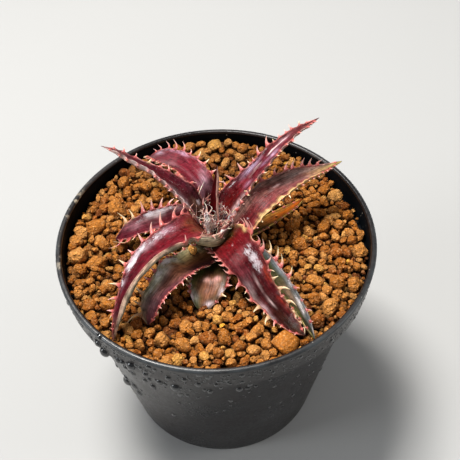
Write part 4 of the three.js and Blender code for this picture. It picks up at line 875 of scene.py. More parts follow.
def make_leaf(name, number):
    spec, look = LEAVES[name], LOOKS[name]
    rng = np.random.default_rng(100 + number)
    young = "crown" in name or "needle" in name
    blade = Blade(spec, 0.16 if young else 0.34)
    spines = place_spines(name, blade, spec, look, rng)
    n = len(blade.s)
    tops = 25 if not young else 17
    a_top = np.cos(np.linspace(0, math.pi, tops))
    a_low = -np.cos(np.linspace(0, math.pi, 17))[1:-1]
    a = np.concatenate([a_top, a_low])
    under = np.concatenate([np.zeros(tops), np.ones(len(a_low))])
    ring = len(a)
    # margins swell where a spine stands on them
    halves = {1: blade.half.copy(), -1: blade.half.copy()}
    for sign, s, tip, width, thick, kind in spines:
        size = np.linalg.norm(tip - (blade.at(s)[0] + sign * blade.at(s)[2] * blade.at(s)[4]))
        swell = 0.31 * min(size, 3.4) * np.exp(-np.abs((blade.s - s) / (0.80 * width)) ** 1.2)
        halves[sign] += swell * smooth(0, 0.06, 1 - blade.u)
        halves[sign] -= 0.09 * min(size, 3.0) * np.exp(-(((blade.s - s - 1.1 * width) / (0.6 * width)) ** 2)) * smooth(0, 0.1, 1 - blade.u)
    half = np.where(a[None] >= 0, halves[1][:, None], halves[-1][:, None])
    A = np.broadcast_to(a[None], (n, ring))
    body = blade.body[:, None]
    depth = blade.depth[:, None]
    edge_mm = (1 - np.abs(A)) * half
    round_end = np.sqrt(np.clip(1 - A**20, 0, 1))
    e = np.minimum(EDGE, 0.4 * blade.half)[:, None]
    trough = -depth * (1 - np.abs(A) ** 2.2)
    bead = 0.16 * np.exp(-((edge_mm / 0.32) ** 2)) * np.minimum(1, half / 1.5)
    ridge = np.zeros_like(A)
    if "ridge" in look:
        side, from_u, to_u, ridge_colour, ridge_width = look["ridge"]
        ridge_width = ridge_width * (1 + 0.35 * np.clip(Wave(600 + number, 1, 6, 0.7, 2.4)(blade.s[:, None]), -1, 1))[:, None]
        ridge = (A * side > 0) * smooth(from_u - 0.02, from_u + 0.02, blade.u)[:, None] * smooth(to_u, to_u - 0.05, blade.u)[:, None]
        ridge = ridge * np.exp(-((edge_mm / np.maximum(ridge_width, 0.3)) ** 2)) * (1 - under[None])
        bead = bead + 0.55 * ridge
    top = trough + e * round_end + bead
    low = -depth * (1 - np.abs(A) ** 2.2) - body * np.clip(1 - A**2, 0, 1) ** 0.62 - e * round_end
    y = np.where(under[None] > 0, low, top)
    # gentle unevenness and shallow grooves that run with the leaf
    uneven = Wave(300 + number, 2, 10, 0.25, 0.9)
    grooves = Wave(400 + number, 2, 12, 2.5, 6.0)
    U = np.broadcast_to(blade.s[:, None], (n, ring))
    X = A * half
    if look["belly"]:
        band = under[None] * np.clip(A, 0, 1) ** 0.7 * np.clip((1 - A) / 0.25, 0, 1) ** 0.6
        X = X + look["belly"] * band * smooth(0.0, 0.12, blade.u)[:, None] * smooth(1.0, 0.80, blade.u)[:, None]
    field = np.stack([U, X * 1.6 + 40 * under[None]], -1)
    lines = np.stack([U * 0.07, X + 40 * under[None]], -1)
    soft = np.clip(edge_mm / 0.6, 0, 1) * np.minimum(1, half / 2.0)
    y = y + soft * (0.10 * uneven(field) + 0.035 * grooves(lines) * np.where(under[None] > 0, 1.4, 1.0))
    X = X + 0.05 * uneven(np.stack([U * 3.1, np.sign(A) * 9.0], -1)) * smooth(0.9, 1.0, np.abs(A))
    verts = blade.p[:, None] + X[..., None] * blade.across[:, None] + y[..., None] * blade.up[:, None]
    if not young:
        low_points = verts[:, tops:][:, ::3].reshape(-1, 3)
        rim_points = verts[:, [0, tops - 1]].reshape(-1, 3)
        UNDERSIDES.append(np.concatenate([low_points, rim_points]))
    # colours
    run_u = [q[0] for q in look["run"]]
    run_c = np.array([linear(q[1]) for q in look["run"]])
    u = np.broadcast_to(blade.u[:, None], (n, ring))
    c = np.stack([np.interp(u, run_u, run_c[:, i]) for i in range(3)], -1)
    wobble = 0.10 * Wave(500 + number, 2, 8, 0.2, 0.8)(np.stack([U, X], -1))
    c = blend(c, linear(look["plus"][0]), look["plus"][1] * smooth(0.10, 0.85, A + wobble) * smooth(0.0, 0.15, u))
    c = blend(c, linear(look["minus"][0]), look["minus"][1] * smooth(0.10, 0.85, -A + wobble) * smooth(0.0, 0.15, u))
    c = blend(c, c * 0.4 + linear(0xB8A09C) * 0.35, look["mid"] * np.exp(-(((A + wobble * 0.6) / 0.14) ** 2)) * smooth(0.1, 0.3, u) * smooth(1, 0.8, u))
    low_c = blend(np.broadcast_to(linear(look["under"]), c.shape), c, 0.22 * np.ones_like(u))
    c = np.where(under[None, :, None] > 0, low_c, c)
    # bloom: soft grey and lilac areas of wax, and on leaf_front_low two painted highlights; lines: thin pale ribs
    top_side = 1 - under[None]
    for pu, pa, lu, la, strength, tone in look.get("bloom", ()):
        soft_patch = strength * np.exp(-np.abs((u - pu) / lu) ** 2.2 - np.abs((A - pa) / la) ** 2.2) * top_side
        c = blend(c, linear(tone), np.clip(soft_patch * (0.74 + 0.60 * uneven(np.stack([U * 0.9, X * 3.0], -1))), 0, 1))
    for u0, a0, u1, a1, w, strength in look.get("lines", ()):
        gap = (A + 0.05 * wobble - np.interp(u, [u0, u1], [a0, a1])) / w
        thin = strength * np.exp(-(gap**2)) * smooth(u0 - 0.02, u0 + 0.05, u) * smooth(u1 + 0.02, u1 - 0.05, u) * top_side
        c = blend(c, linear(0xE2C4C2), np.clip(thin * (0.8 + 0.4 * uneven(np.stack([U * 1.7, X], -1))), 0, 0.9))
    # pale: waxy patches, partly painted highlights where the wax shines
    pale = np.zeros((n, ring))
    for pu, pa, lu, la, strength in look["pale"]:
        pale = np.maximum(pale, strength * np.exp(-(((u - pu) / lu) ** 2) - (((A - pa) / la) ** 2)))
    pale *= 1 - under[None]
    rim = np.where(A >= 0, 0, 1)
    rim_c = np.stack([linear(look["rims"][0]), linear(look["rims"][1])])[rim]
    r = np.exp(-((edge_mm / 0.24) ** 2)) * np.clip(0.66 + 0.34 * uneven(np.stack([U * 1.9, np.sign(A) * 5.0], -1)), 0.15, 1)
    r = np.maximum(r, 0)
    c = blend(c, rim_c, np.clip(r, 0, 1) * 0.95 * smooth(0, 0.05, 1 - u))
    # painted shade: a dark line just inside each margin, fainter on the young leaves
    dark = np.exp(-(((edge_mm - 0.62) / 0.26) ** 2)) * (1 - under[None])
    c = c * (1 - (0.12 if young else 0.45) * dark)[..., None]
    if "ridge" in look:
        c = blend(c, linear(ridge_colour), np.clip(ridge * (1.10 + 0.50 * uneven(np.stack([U * 2.4, X * 1.5], -1))), 0, 1))
    # the foot of each spine takes its colour over a short stretch of the margin
    for sign, s, tip, width, thick, kind in spines:
        near = np.exp(-(((U - s) / (0.55 * width)) ** 2)) * np.exp(-((edge_mm / 0.60) ** 2)) * (A * sign > 0)
        c = blend(c, linear(CORAL if kind < 2 else 0xC08468), 0.70 * near)
        pale *= 1 - 0.7 * near
    scurf = np.full((n, ring), float(look["scurf"])) * (1 - 0.6 * smooth(0.3, 1, u)) + 0.5 * smooth(0.12, 0.0, u) + 0.25 * pale
    skin = np.stack([U + 57.0 * number, X, under[None] * 9.0 + number + 0 * U], -1)
    flat_v = verts.reshape(-1, 3)
    i = np.arange(n - 1)[:, None] * ring
    k = np.arange(ring)[None]
    j = (k + 1) % ring
    quads = np.stack([i + k, i + ring + k, i + ring + j, i + j], -1).reshape(-1, 4)
    ends = []
    for o, flip in ((0, False), ((n - 1) * ring, True)):
        centre = len(flat_v) + len(ends)
        ends.append(flat_v[o:o + ring].mean(0))
        kk = np.arange(ring)
        jj = (kk + 1) % ring
        fan = np.stack([np.full(ring, centre), o + kk, o + jj] if not flip else [np.full(ring, centre), o + jj, o + kk], 1)
        ends.append(None)
        if flip:
            tris = np.concatenate([tris, fan])
        else:
            tris = fan
        ends.pop()
    verts_all = [flat_v, np.array(ends)]
    col_all = [c.reshape(-1, 3), np.stack([c[0].mean(0), c[-1].mean(0)])]
    skin_all = [skin.reshape(-1, 3), np.stack([skin[0, 0], skin[-1, 0]])]
    pale_all, scurf_all = [pale.ravel(), np.zeros(2)], [scurf.ravel(), np.zeros(2)]
    under_all = [np.broadcast_to(under[None], (n, ring)).ravel(), np.zeros(2)]
    quads_all, tris_all = [quads], [tris]
    count = len(flat_v) + 2
    blade_faces = (len(quads), len(tris))
    spine_quads, spine_tris = [], []
    for sign, s, tip, width, thick, kind in spines:
        p, along, across, up, h = blade.at(s)
        out = sign * across
        h = float(np.interp(s, blade.s, halves[sign]))
        foot = p + out * (h - 0.15) + 0.04 * up
        sv, sq, st, where = spine_mesh(
            foot, unit(out + 0.15 * up), along, up, tip, width, thick,
            sides=8 if not young else 6, rings=10 if not young else 7,
        )
        ends_c = {0: linear(PALE_CORAL), 1: linear(CREAM), 2: linear(CREAM)}[kind]
        start = linear(CORAL) if kind < 2 else linear(0xD0A078)
        sc = blend(np.broadcast_to(start, (len(sv), 3)), ends_c, smooth(0.15 if kind < 2 else 0.05, 0.75, where))
        sc = blend(sc, sc * 0.45, 0.7 * smooth(0.24, 0.0, where))
        spine_quads.append(sq + count)
        spine_tris.append(st + count)
        count += len(sv)
        verts_all.append(sv)
        col_all.append(sc)
        skin_all.append(sv + 500.0)
        for store in (pale_all, scurf_all, under_all):
            store.append(np.zeros(len(sv)))
    quads_all += spine_quads
    tris_all += spine_tris
    faces = [np.concatenate(quads_all), np.concatenate(tris_all)]
    which = np.concatenate([
        np.zeros(blade_faces[0]), np.ones(len(faces[0]) - blade_faces[0]),
        np.zeros(blade_faces[1]), np.ones(len(faces[1]) - blade_faces[1]),
    ])
    obj = build_mesh(
        name + "_blade", np.concatenate(verts_all), faces,
        {"col_skin": np.concatenate(col_all), "skin": np.concatenate(skin_all), "pale": np.concatenate(pale_all),
         "scurf": np.concatenate(scurf_all), "under": np.concatenate(under_all)},
        (MATS[SLOTS[name]], MATS["spine"]), which,
    )
    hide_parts(name)
    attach(obj, "root")
    return obj


for number, name in enumerate(LEAVES):
    make_leaf(name, number)


# ---------------------------------------------------------------- crown
def carriers(hosts):
    """A function that gives the distance from the eye to the nearest of the hosts, through a point of the frame."""
    from mathutils.bvhtree import BVHTree

    trees = []
    for host in hosts:
        mesh = bpy.data.objects[host + "_blade"].data
        co = np.zeros(len(mesh.vertices) * 3, np.float32)
        mesh.vertices.foreach_get("co", co)
        trees.append(BVHTree.FromPolygons([tuple(q) for q in co.reshape(-1, 3)], [tuple(p.vertices) for p in mesh.polygons]))

    def distance(px, py):
        hits = [tree.ray_cast(Vector(EYE * MM), Vector(sight(px, py)), 1.0) for tree in trees]
        hits = [h[3] / MM for h in hits if h[0] is not None]
        return min(hits) if hits else math.nan

    return distance


def tube(path, radii, sides=6):
    """A closed tube along a path, with a radius at each of its points."""
    path = np.asarray(path, float)
    n = len(path)
    d = unit(np.gradient(path, axis=0))
    side = unit(np.cross(d[0], [0.31, 0.22, 0.92]))
    rows = []
    for k in range(n):
        side = unit(side - (side @ d[k]) * d[k])
        other = np.cross(d[k], side)
        a = np.linspace(0, 2 * math.pi, sides, endpoint=False)
        rows.append(path[k] + radii[k] * (np.cos(a)[:, None] * side + np.sin(a)[:, None] * other))
    v = np.concatenate([np.concatenate(rows), path[:1], path[-1:]])
    k = np.arange(sides)
    j = (k + 1) % sides
    quads = np.concatenate([np.stack([r * sides + k, r * sides + j, (r + 1) * sides + j, (r + 1) * sides + k], 1) for r in range(n - 1)])
    last = (n - 1) * sides
    tris = np.concatenate([
        np.stack([j, k, np.full(sides, n * sides)], 1),
        np.stack([last + k, last + j, np.full(sides, n * sides + 1)], 1),
    ])
    return v, quads, tris


def join_tubes(name, made, colours):
    verts, quads, tris, col, count = [], [], [], [], 0
    for (v, f4, f3), (c0, c1) in zip(made, colours):
        verts.append(v)
        quads.append(f4 + count)
        tris.append(f3 + count)
        n = (len(v) - 2) // 6
        f = np.concatenate([np.repeat(np.linspace(0, 1, n), 6), [0, 1]])
        col.append(blend(np.broadcast_to(linear(c0), (len(v), 3)), linear(c1), smooth(0.0, 0.8, f)))
        count += len(v)
    obj = build_mesh(name, np.concatenate(verts), [np.concatenate(quads), np.concatenate(tris)], {"col_skin": np.concatenate(col)}, (MATS["spine"],))
    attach(obj, "root")
    return obj


def make_crown():
    rng = np.random.default_rng(64)
    made, colours = [], []
    tones = ((0xC06A62, 0xEFC0B0), (0xC88478, 0xF2D6C4), (0xB4544E, 0xE8A296), (0xC8AC98, 0xF0E2D0))
    # fine curling spines on the margins of the young leaves and on the bases of the old ones
    hosts = [(n, 0.08, 0.92, 1.30 if "front" in n else 1.0, 1.0) for n in LEAVES if "crown" in n]
    hosts += [("leaf_front_left_upper", 0.02, 0.20, 1.5, 1.1), ("leaf_front_right_upper", 0.02, 0.10, 1.2, 1.0),
              ("leaf_back_left_long", 0.03, 0.24, 2.0, 1.2), ("leaf_back_left_broad", 0.05, 0.22, 2.0, 1.1),
              ("leaf_back_right_long", 0.05, 0.24, 1.9, 1.2), ("leaf_right", 0.03, 0.14, 1.6, 1.0)]
    for name, u0, u1, pitch, size in hosts:
        blade = Blade(LEAVES[name], 0.2)
        for sign in (1, -1):
            s = u0 * blade.length + rng.uniform(0, pitch)
            while s < u1 * blade.length:
                p, along, across, up, half = blade.at(s)
                out = sign * across
                foot = p + out * (half - 0.12) + up * 0.05
                length = size * rng.uniform(1.0, 2.7)
                d0 = unit(out * rng.uniform(0.3, 1.0) + up * rng.uniform(0.2, 0.9) + along * rng.uniform(-0.2, 0.8) + np.array([0, 0, 0.35]))
                curl = unit(rng.normal(size=3) + 0.8 * along + [0, 0, 0.2]) * rng.uniform(0.5, 1.1)
                f = np.linspace(0, 1, 9)[:, None]
                path = foot + length * (f * d0 + f**2 * curl * 0.9)
                thick = rng.uniform(0.14, 0.24)
                made.append(tube(path, np.maximum(thick * (1 - f[:, 0]) ** 0.8, 0.03)))
                colours.append(tones[rng.integers(len(tones))])
                s += pitch * rng.uniform(0.7, 1.4)
    # a tuft of thin spines round the foot of the needle leaf
    for k in range(9):
        a = 2 * math.pi * (k + rng.uniform(-0.3, 0.3)) / 9
        r = rng.uniform(1.9, 2.7)
        foot = np.array([-0.1 + r * math.cos(a), 0.5 + r * math.sin(a), rng.uniform(86.0, 88.5)])
        lean = np.array([math.cos(a), math.sin(a), 0]) * rng.uniform(0.15, 0.5)
        bend = unit(rng.normal(size=3) * [1, 1, 0.3]) * rng.uniform(0.1, 0.4)
        f = np.linspace(0, 1, 10)[:, None]
        path = foot + rng.uniform(3.0, 5.6) * (f * (lean + [0, 0, 1.0]) + f**2 * bend)
        made.append(tube(path, np.maximum(rng.uniform(0.12, 0.19) * (1 - f[:, 0]) ** 0.8, 0.03)))
        colours.append(tones[rng.integers(len(tones))])
    # the nest of curling spines in front of the needle's foot: (foot x, foot y, tip x, tip y) in the frame
    near = [n for n in LEAVES if "crown" in n or "needle" in n]
    carried = carriers(near + ["leaf_front_left_upper", "leaf_front_right_upper", "leaf_back_left_long", "leaf_back_left_broad"])
    nest = [(207.3, 213, 203.7, 202.5), (208.7, 214, 208.9, 204.9), (205.6, 217, 203.8, 208), (224.4, 214, 220.9, 204.5),
            (226.4, 214.6, 224.6, 205), (227.4, 216, 227.9, 208.8), (211.5, 216, 207.5, 211), (213.5, 218, 216.5, 211.5),
            (216, 217.5, 212, 212.5), (218.5, 218, 222.5, 212.5), (215, 221, 209.5, 217.5), (217.5, 222, 223, 218),
            (220, 224.5, 226.5, 221), (214, 225, 219, 220), (212, 222.5, 206.5, 220.5), (219.5, 220.5, 216.5, 215)]
    for _ in range(16):
        fx, fy = rng.uniform(209, 221), rng.uniform(215, 226)
        turn = rng.uniform(-2.6, -0.5)
        reach = rng.uniform(4.0, 7.5)
        nest.append((fx, fy, fx + reach * math.cos(turn), fy + reach * math.sin(turn)))
    for fx, fy, tx, ty in nest:
        far = carried(fx, fy)
        if math.isnan(far):
            continue
        foot, tip = EYE + (far + 0.1) * sight(fx, fy), EYE + (far - rng.uniform(0.5, 1.4)) * sight(tx, ty)
        bow = unit(np.cross(tip - foot, FORWARD)) * rng.choice((-1, 1)) * rng.uniform(0.15, 0.45) * np.linalg.norm(tip - foot)
        f = np.linspace(0, 1, 11)[:, None]
        path = foot + f * (tip - foot) + 4 * f * (1 - f) * bow * (0.4 + 0.6 * f) - 0.5 * np.sin(math.pi * f) * FORWARD
        made.append(tube(path, np.maximum(rng.uniform(0.17, 0.28) * (1 - f[:, 0]) ** 0.7, 0.03)))
        colours.append(((0xD88C80, 0xF8E0D2), (0xCC7A70, 0xF4CDC0), (0xDCC0AE, 0xF8EEE2))[rng.integers(3)])
    join_tubes("crown_fine_spines", made, colours)
    # grey wool that lies on the youngest leaves
    made, colours = [], []
    for name, count in (("leaf_crown_front_left", 56), ("leaf_crown_front", 20), ("leaf_crown_right", 5), ("leaf_crown_back_right", 5), ("leaf_crown_back_left", 7)):
        blade = Blade(LEAVES[name], 0.2)
        for _ in range(count):
            s0 = rng.uniform(0.05, 0.85) * blade.length
            a0 = rng.uniform(-0.9, 0.9)
            rise = rng.uniform(0.04, 0.12)
            turn = rng.uniform(0, 2 * math.pi)
            curl = rng.uniform(-4.4, 4.4)
            length = rng.uniform(0.9, 2.4)
            path = []
            s, x = s0, a0 * blade.at(s0)[4]
            for _ in range(10):
                p, along, across, up, half = blade.at(min(s, 0.97 * blade.length))
                a = np.clip(x / half, -1.05, 1.05)
                lift = -LEAVES[name]["channel"] * half * (1 - abs(a) ** 2.2) + EDGE + rise
                path.append(p + across * a * half + up * lift)
                s += math.cos(turn) * length / 9
                x += math.sin(turn) * length / 9
                turn += curl / 9
            path = np.array(path)
            path[1:-1] = (path[:-2] + 2 * path[1:-1] + path[2:]) / 4
            f = np.linspace(0, 1, 10)
            made.append(tube(path, rng.uniform(0.07, 0.13) * (1.15 - 0.8 * np.abs(2 * f - 1) ** 2)))
            tone = ((0xD2CAC6, 0xF2EEEA), (0xDED6D0, 0xF8F4F0), (0xB09C98, 0xE4D6D2))[rng.integers(3)]
            colours.append(tone)
    for _ in range(64):
        x, y = rng.normal(212.5, 2.9), rng.normal(225.5, 3.2)
        turn, curl, length = rng.uniform(0, 2 * math.pi), rng.uniform(-4.0, 4.0), rng.uniform(3.5, 7.0)
        rise = rng.uniform(0.12, 0.42)
        path, last = [], math.nan
        for _ in range(10):
            far = carried(x, y)
            if not math.isnan(last) and not abs(far - last) < 0.45:
                far = last
            if math.isnan(far):
                break
            path.append(EYE + (far - rise) * sight(x, y))
            last = far
            x, y, turn = x + math.cos(turn) * length / 9, y + math.sin(turn) * length / 9, turn + curl / 9
        if len(path) < 10:
            continue
        path = np.array(path)
        path[1:-1] = (path[:-2] + 2 * path[1:-1] + path[2:]) / 4
        path[0] += (rise + 0.05) * FORWARD
        path[-1] += (rise + 0.05) * FORWARD
        f = np.linspace(0, 1, 10)
        made.append(tube(path, rng.uniform(0.07, 0.13) * (1.15 - 0.8 * np.abs(2 * f - 1) ** 2)))
        colours.append(((0xD2C4BE, 0xF0E8E2), (0xD8BEB4, 0xF2E0D6), (0xB49A94, 0xE2D0CA))[rng.integers(3)])
    join_tubes("crown_wool", made, colours)


def make_band(name, owner, hosts, top, low, paint, seed, stand=1.0):
    """A leaf base that wraps round the crown in front of its hosts, between two lines of the frame."""
    top, low = np.array(top, float), np.array(low, float)
    carried = carriers(hosts)
    n, m = 41, 17
    t = np.linspace(0, 1, n)
    top, low = spline(top, t), spline(low, t)
    far = np.full((n, m), np.nan)
    for i in range(n):
        for j in range(m):
            far[i, j] = carried(*(low[i] + (top[i] - low[i]) * j / (m - 1)))
    base = np.nanmedian(far, axis=1)
    good = ~np.isnan(base)
    base = np.interp(np.arange(n), np.arange(n)[good], base[good])
    fit = np.polyfit(t, base, 3)
    base = np.polyval(fit, t)
    rng = Wave(seed, 2, 10, 0.6, 2.0)
    front, back, edge = [], [], []
    for i in range(n):
        close = min(1.0, i / 6) * min(1.0, (n - 1 - i) / 6)
        for j in range(m):
            f = j / (m - 1)
            px = low[i] + (top[i] - low[i]) * f
            ray = sight(*px)
            reach = base[i] - stand * (0.35 + 0.75 * math.sin(math.pi * (0.15 + 0.85 * f) * 0.62) + 0.25 * f) * (0.35 + 0.65 * close)
            reach += 0.05 * float(rng([i * 0.5, j * 1.6]))
            front.append(EYE + reach * ray)
            back.append(EYE + (reach + 0.55 + 0.5 * (1 - f)) * ray)
            edge.append(f)
    v = np.array(front + back)
    g = np.arange(n * m).reshape(n, m)
    b = g + n * m
    faces = [np.stack([g[:-1, :-1], g[1:, :-1], g[1:, 1:], g[:-1, 1:]], -1).reshape(-1, 4), np.stack([b[:-1, :-1], b[:-1, 1:], b[1:, 1:], b[1:, :-1]], -1).reshape(-1, 4)]
    for row_g, row_b, flip in ((g[:, 0], b[:, 0], True), (g[:, -1], b[:, -1], False), (g[0], b[0], False), (g[-1], b[-1], True)):
        strip = np.stack([row_g[:-1], row_g[1:], row_b[1:], row_b[:-1]], -1)
        faces.append(strip[:, ::-1] if flip else strip)
    f = np.array(edge * 2)
    i_of = np.concatenate([np.repeat(np.arange(n), m)] * 2) / (n - 1)
    obj = build_mesh(
        name, v, np.concatenate(faces),
        {"col_skin": paint(f, i_of), "skin": np.stack([i_of * 13 + 900, f * 4.5, np.full(len(v), 9.0)], 1), "pale": np.zeros(len(v)),
         "scurf": np.full(len(v), 0.3), "under": np.ones(len(v))},
        (MATS["leaf_red"],),
    )
    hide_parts(owner)
    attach(obj, "root")


def sheath_paint(f, i):
    fibre = Wave(911, 1, 12, 3.0, 14.0)(f[:, None] * 5) * 0.22 + Wave(913, 2, 12, 2.0, 9.0)(np.stack([i * 4, f * 6], 1)) * 0.16
    c = blend(np.broadcast_to(linear(0x82785A), (len(f), 3)), linear(0xBEB296), smooth(0.05, 0.75, f)) * (1 + fibre)[:, None]
    c = blend(c, linear(0x5A4428), 0.75 * smooth(0.50, 0.85, i) * smooth(0.95, 0.55, f))
    return blend(c, linear(0xEDBEAC), smooth(0.84, 0.93, f))


def flap_paint(f, i):
    fibre = Wave(921, 2, 12, 2.0, 9.0)(np.stack([i * 5, f * 7], 1)) * 0.16
    c = blend(np.broadcast_to(linear(0x9A4E4A), (len(f), 3)), linear(0xE0A090), smooth(0.1, 0.7, f)) * (1 + fibre)[:, None]
    c = blend(c, linear(0x7A3A40), 0.6 * smooth(0.55, 0.9, i) * smooth(0.9, 0.5, f))
    return blend(c, linear(0xF4DCC6), smooth(0.80, 0.92, f))


make_crown()
make_band(
    "leaf_front_left_upper_sheath", "leaf_front_left_upper",
    ("leaf_front_right_upper", "leaf_front_left_upper", "leaf_front_left_lower", "leaf_right", "leaf_crown_front"),
    [(196, 237.2), (203, 236.0), (210, 235.4), (217, 233.6), (223.5, 230.6), (228.5, 227.2), (232, 223.8)],
    [(196, 243.8), (203, 245.8), (210, 246.8), (217, 246.2), (223, 242.6), (228, 236.6), (232.5, 229.5)],
    sheath_paint, 812,
)
make_band(
    "leaf_crown_front_flap", "leaf_crown_front",
    ("leaf_crown_front", "leaf_crown_front_left", "leaf_crown_right", "leaf_front_left_upper"),
    [(209, 233.6), (214, 231.4), (219, 228.6), (224, 225.4), (229, 222.8)],
    [(208.5, 236.6), (214, 235.2), (219, 232.8), (224, 229.6), (229.5, 225.6)],
    flap_paint, 815, 0.6,
)


# ---------------------------------------------------------------- turned shapes
def turned(profile, segments):
    """A closed lathe mesh from an (r, z) profile that starts and ends on the axis."""
    inner = np.array(profile[1:-1], float)
    a = np.linspace(0, 2 * math.pi, segments, endpoint=False)
    m = len(inner)
    v = np.stack([
        inner[:, 0][:, None] * np.cos(a)[None], inner[:, 0][:, None] * np.sin(a)[None],
        np.broadcast_to(inner[:, 1][:, None], (m, segments)),
    ], -1).reshape(-1, 3)
    k = np.arange(segments)
    j = (k + 1) % segments
    quads = np.concatenate([np.stack([r * segments + k, r * segments + j, (r + 1) * segments + j, (r + 1) * segments + k], 1) for r in range(m - 1)])
    first, last = len(v), len(v) + 1
    v = np.concatenate([v, [[0, 0, profile[0][1]], [0, 0, profile[-1][1]]]])
    tris = np.concatenate([
        np.stack([j, k, np.full(segments, first)], 1),
        np.stack([(m - 1) * segments + k, (m - 1) * segments + j, np.full(segments, last)], 1),
    ])
    return v, quads, tris


def eased(corners, radius=0.5, steps=4):
    """Rounds the corners of an (r, z) profile, apart from its two ends, with short arcs."""
    pts = [tuple(corners[0])]
    for a, b, c in zip(corners[:-2], corners[1:-1], corners[2:]):
        a, b, c = (np.array(q[:2], float) for q in (a, b, c))
        own = radius
        la, lc = np.linalg.norm(a - b), np.linalg.norm(c - b)
        own = min(own, 0.45 * la, 0.45 * lc)
        p, q = b + (a - b) / la * own, b + (c - b) / lc * own
        for t in np.linspace(0, 1, steps + 1):
            pts.append(tuple((1 - t) ** 2 * p + 2 * t * (1 - t) * b + t**2 * q))
    pts.append(tuple(corners[-1]))
    return pts


# ---------------------------------------------------------------- pot
POT = [
    (0, 2.4), (29.7, 2.4), (30.3, 0.0), (34.0, 0.0), (34.5, 0.6), (48.2, 69.4), (48.7, 70.0), (51.1, 70.0),
    (51.4, 70.4), (52.0, 78.1), (52.5, 78.5), (52.5, 79.5), (52.0, 80.0), (51.0, 80.0), (50.6, 79.5),
    (50.2, 71.6), (47.0, 70.6), (34.2, 5.0), (32.5, 3.8), (0, 3.8),
]


def fine_steps(profile, longest=2.6):
    out = [profile[0]]
    for a, b in zip(profile[:-1], profile[1:]):
        n = max(1, int(math.dist(a, b) / longest))
        out += [(a[0] + (b[0] - a[0]) * i / n, a[1] + (b[1] - a[1]) * i / n) for i in range(1, n + 1)]
    return out


def make_pot():
    v, quads, tris = turned(fine_steps(eased(POT, 0.45, 3)), 224)
    pot = build_mesh("pot_shell", v, [quads, tris], materials=(MATS["pot"], MATS["pot_inside"]))
    holes = [(0, 0)] + [(21 * math.cos((i + 0.5) * math.pi / 4), 21 * math.sin((i + 0.5) * math.pi / 4)) for i in range(8)]
    for x, y in holes:
        hv, hq, ht = turned([(0, -2), (2.6, -2), (2.6, 8), (0, 8)], 28)
        cutter = build_mesh("cutter", hv + [x, y, 0], [hq, ht])
        cut = pot.modifiers.new("cut", "BOOLEAN")
        cut.operation, cut.solver, cut.object = "DIFFERENCE", "EXACT", cutter
        made = bpy.data.meshes.new_from_object(pot.evaluated_get(bpy.context.evaluated_depsgraph_get()))
        pot.modifiers.clear()
        pot.data = made
        bpy.data.objects.remove(cutter)
    mesh = pot.data
    co = np.zeros(len(mesh.vertices) * 3, np.float32)
    mesh.vertices.foreach_get("co", co)
    co = co.reshape(-1, 3) / MM
    azimuth = np.degrees(np.arctan2(co[:, 1], co[:, 0]))
    height = co[:, 2]
    stain = np.zeros(len(co))
    for centre, spread, strength in ((172, 7, 0.8), (158, 6, 0.75), (189, 5, 0.4), (143, 5, 0.35), (40, 4, 0.2)):
        gap = (azimuth - centre + 180) % 360 - 180
        stain = np.maximum(stain, strength * np.exp(-((gap / spread) ** 2)))
    stain = stain * smooth(77.6, 79.6, height) * smooth(46, 49, np.hypot(co[:, 0], co[:, 1]))
    mesh.attributes.new("stain", "FLOAT", "POINT").data.foreach_set("value", stain.astype(np.float32))
    # painted highlight along the top of the lip, standing in for a reflection
    painted_lip_sheen = 0.55 * np.exp(-(((height - 79.6) / 0.5) ** 2)) * smooth(51.2, 52.0, np.hypot(co[:, 0], co[:, 1]))
    mesh.attributes.new("painted_lip_sheen", "FLOAT", "POINT").data.foreach_set("value", painted_lip_sheen.astype(np.float32))
    # the inside faces take the darker inside material, a painted shade
    for face in mesh.polygons:
        x, y, z = face.center[:]
        inward = x * face.normal[0] + y * face.normal[1] < 0
        face.material_index = 1 if inward and z < 79.3 * MM else 0
    # the shell's curved faces are smooth
    mesh.polygons.foreach_set("use_smooth", np.ones(len(mesh.polygons), bool))
    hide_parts("pot")
    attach(pot, "root")
    return pot


make_pot()


def ball(level):
    import bmesh

    bm = bmesh.new()
    bmesh.ops.create_icosphere(bm, subdivisions=level, radius=1.0)
    v = np.array([q.co[:] for q in bm.verts])
    f = np.array([[q.index for q in face.verts] for face in bm.faces])
    bm.free()
    return v, f


BALLS = {k: ball(k) for k in (1, 2, 3, 4)}


def random_turn(rng):
    q = unit(rng.normal(size=4))
    w, x, y, z = q
    return np.array([
        [1 - 2 * (y * y + z * z), 2 * (x * y - z * w), 2 * (x * z + y * w)],
        [2 * (x * y + z * w), 1 - 2 * (x * x + z * z), 2 * (y * z - x * w)],
        [2 * (x * z - y * w), 2 * (y * z + x * w), 1 - 2 * (x * x + y * y)],
    ])


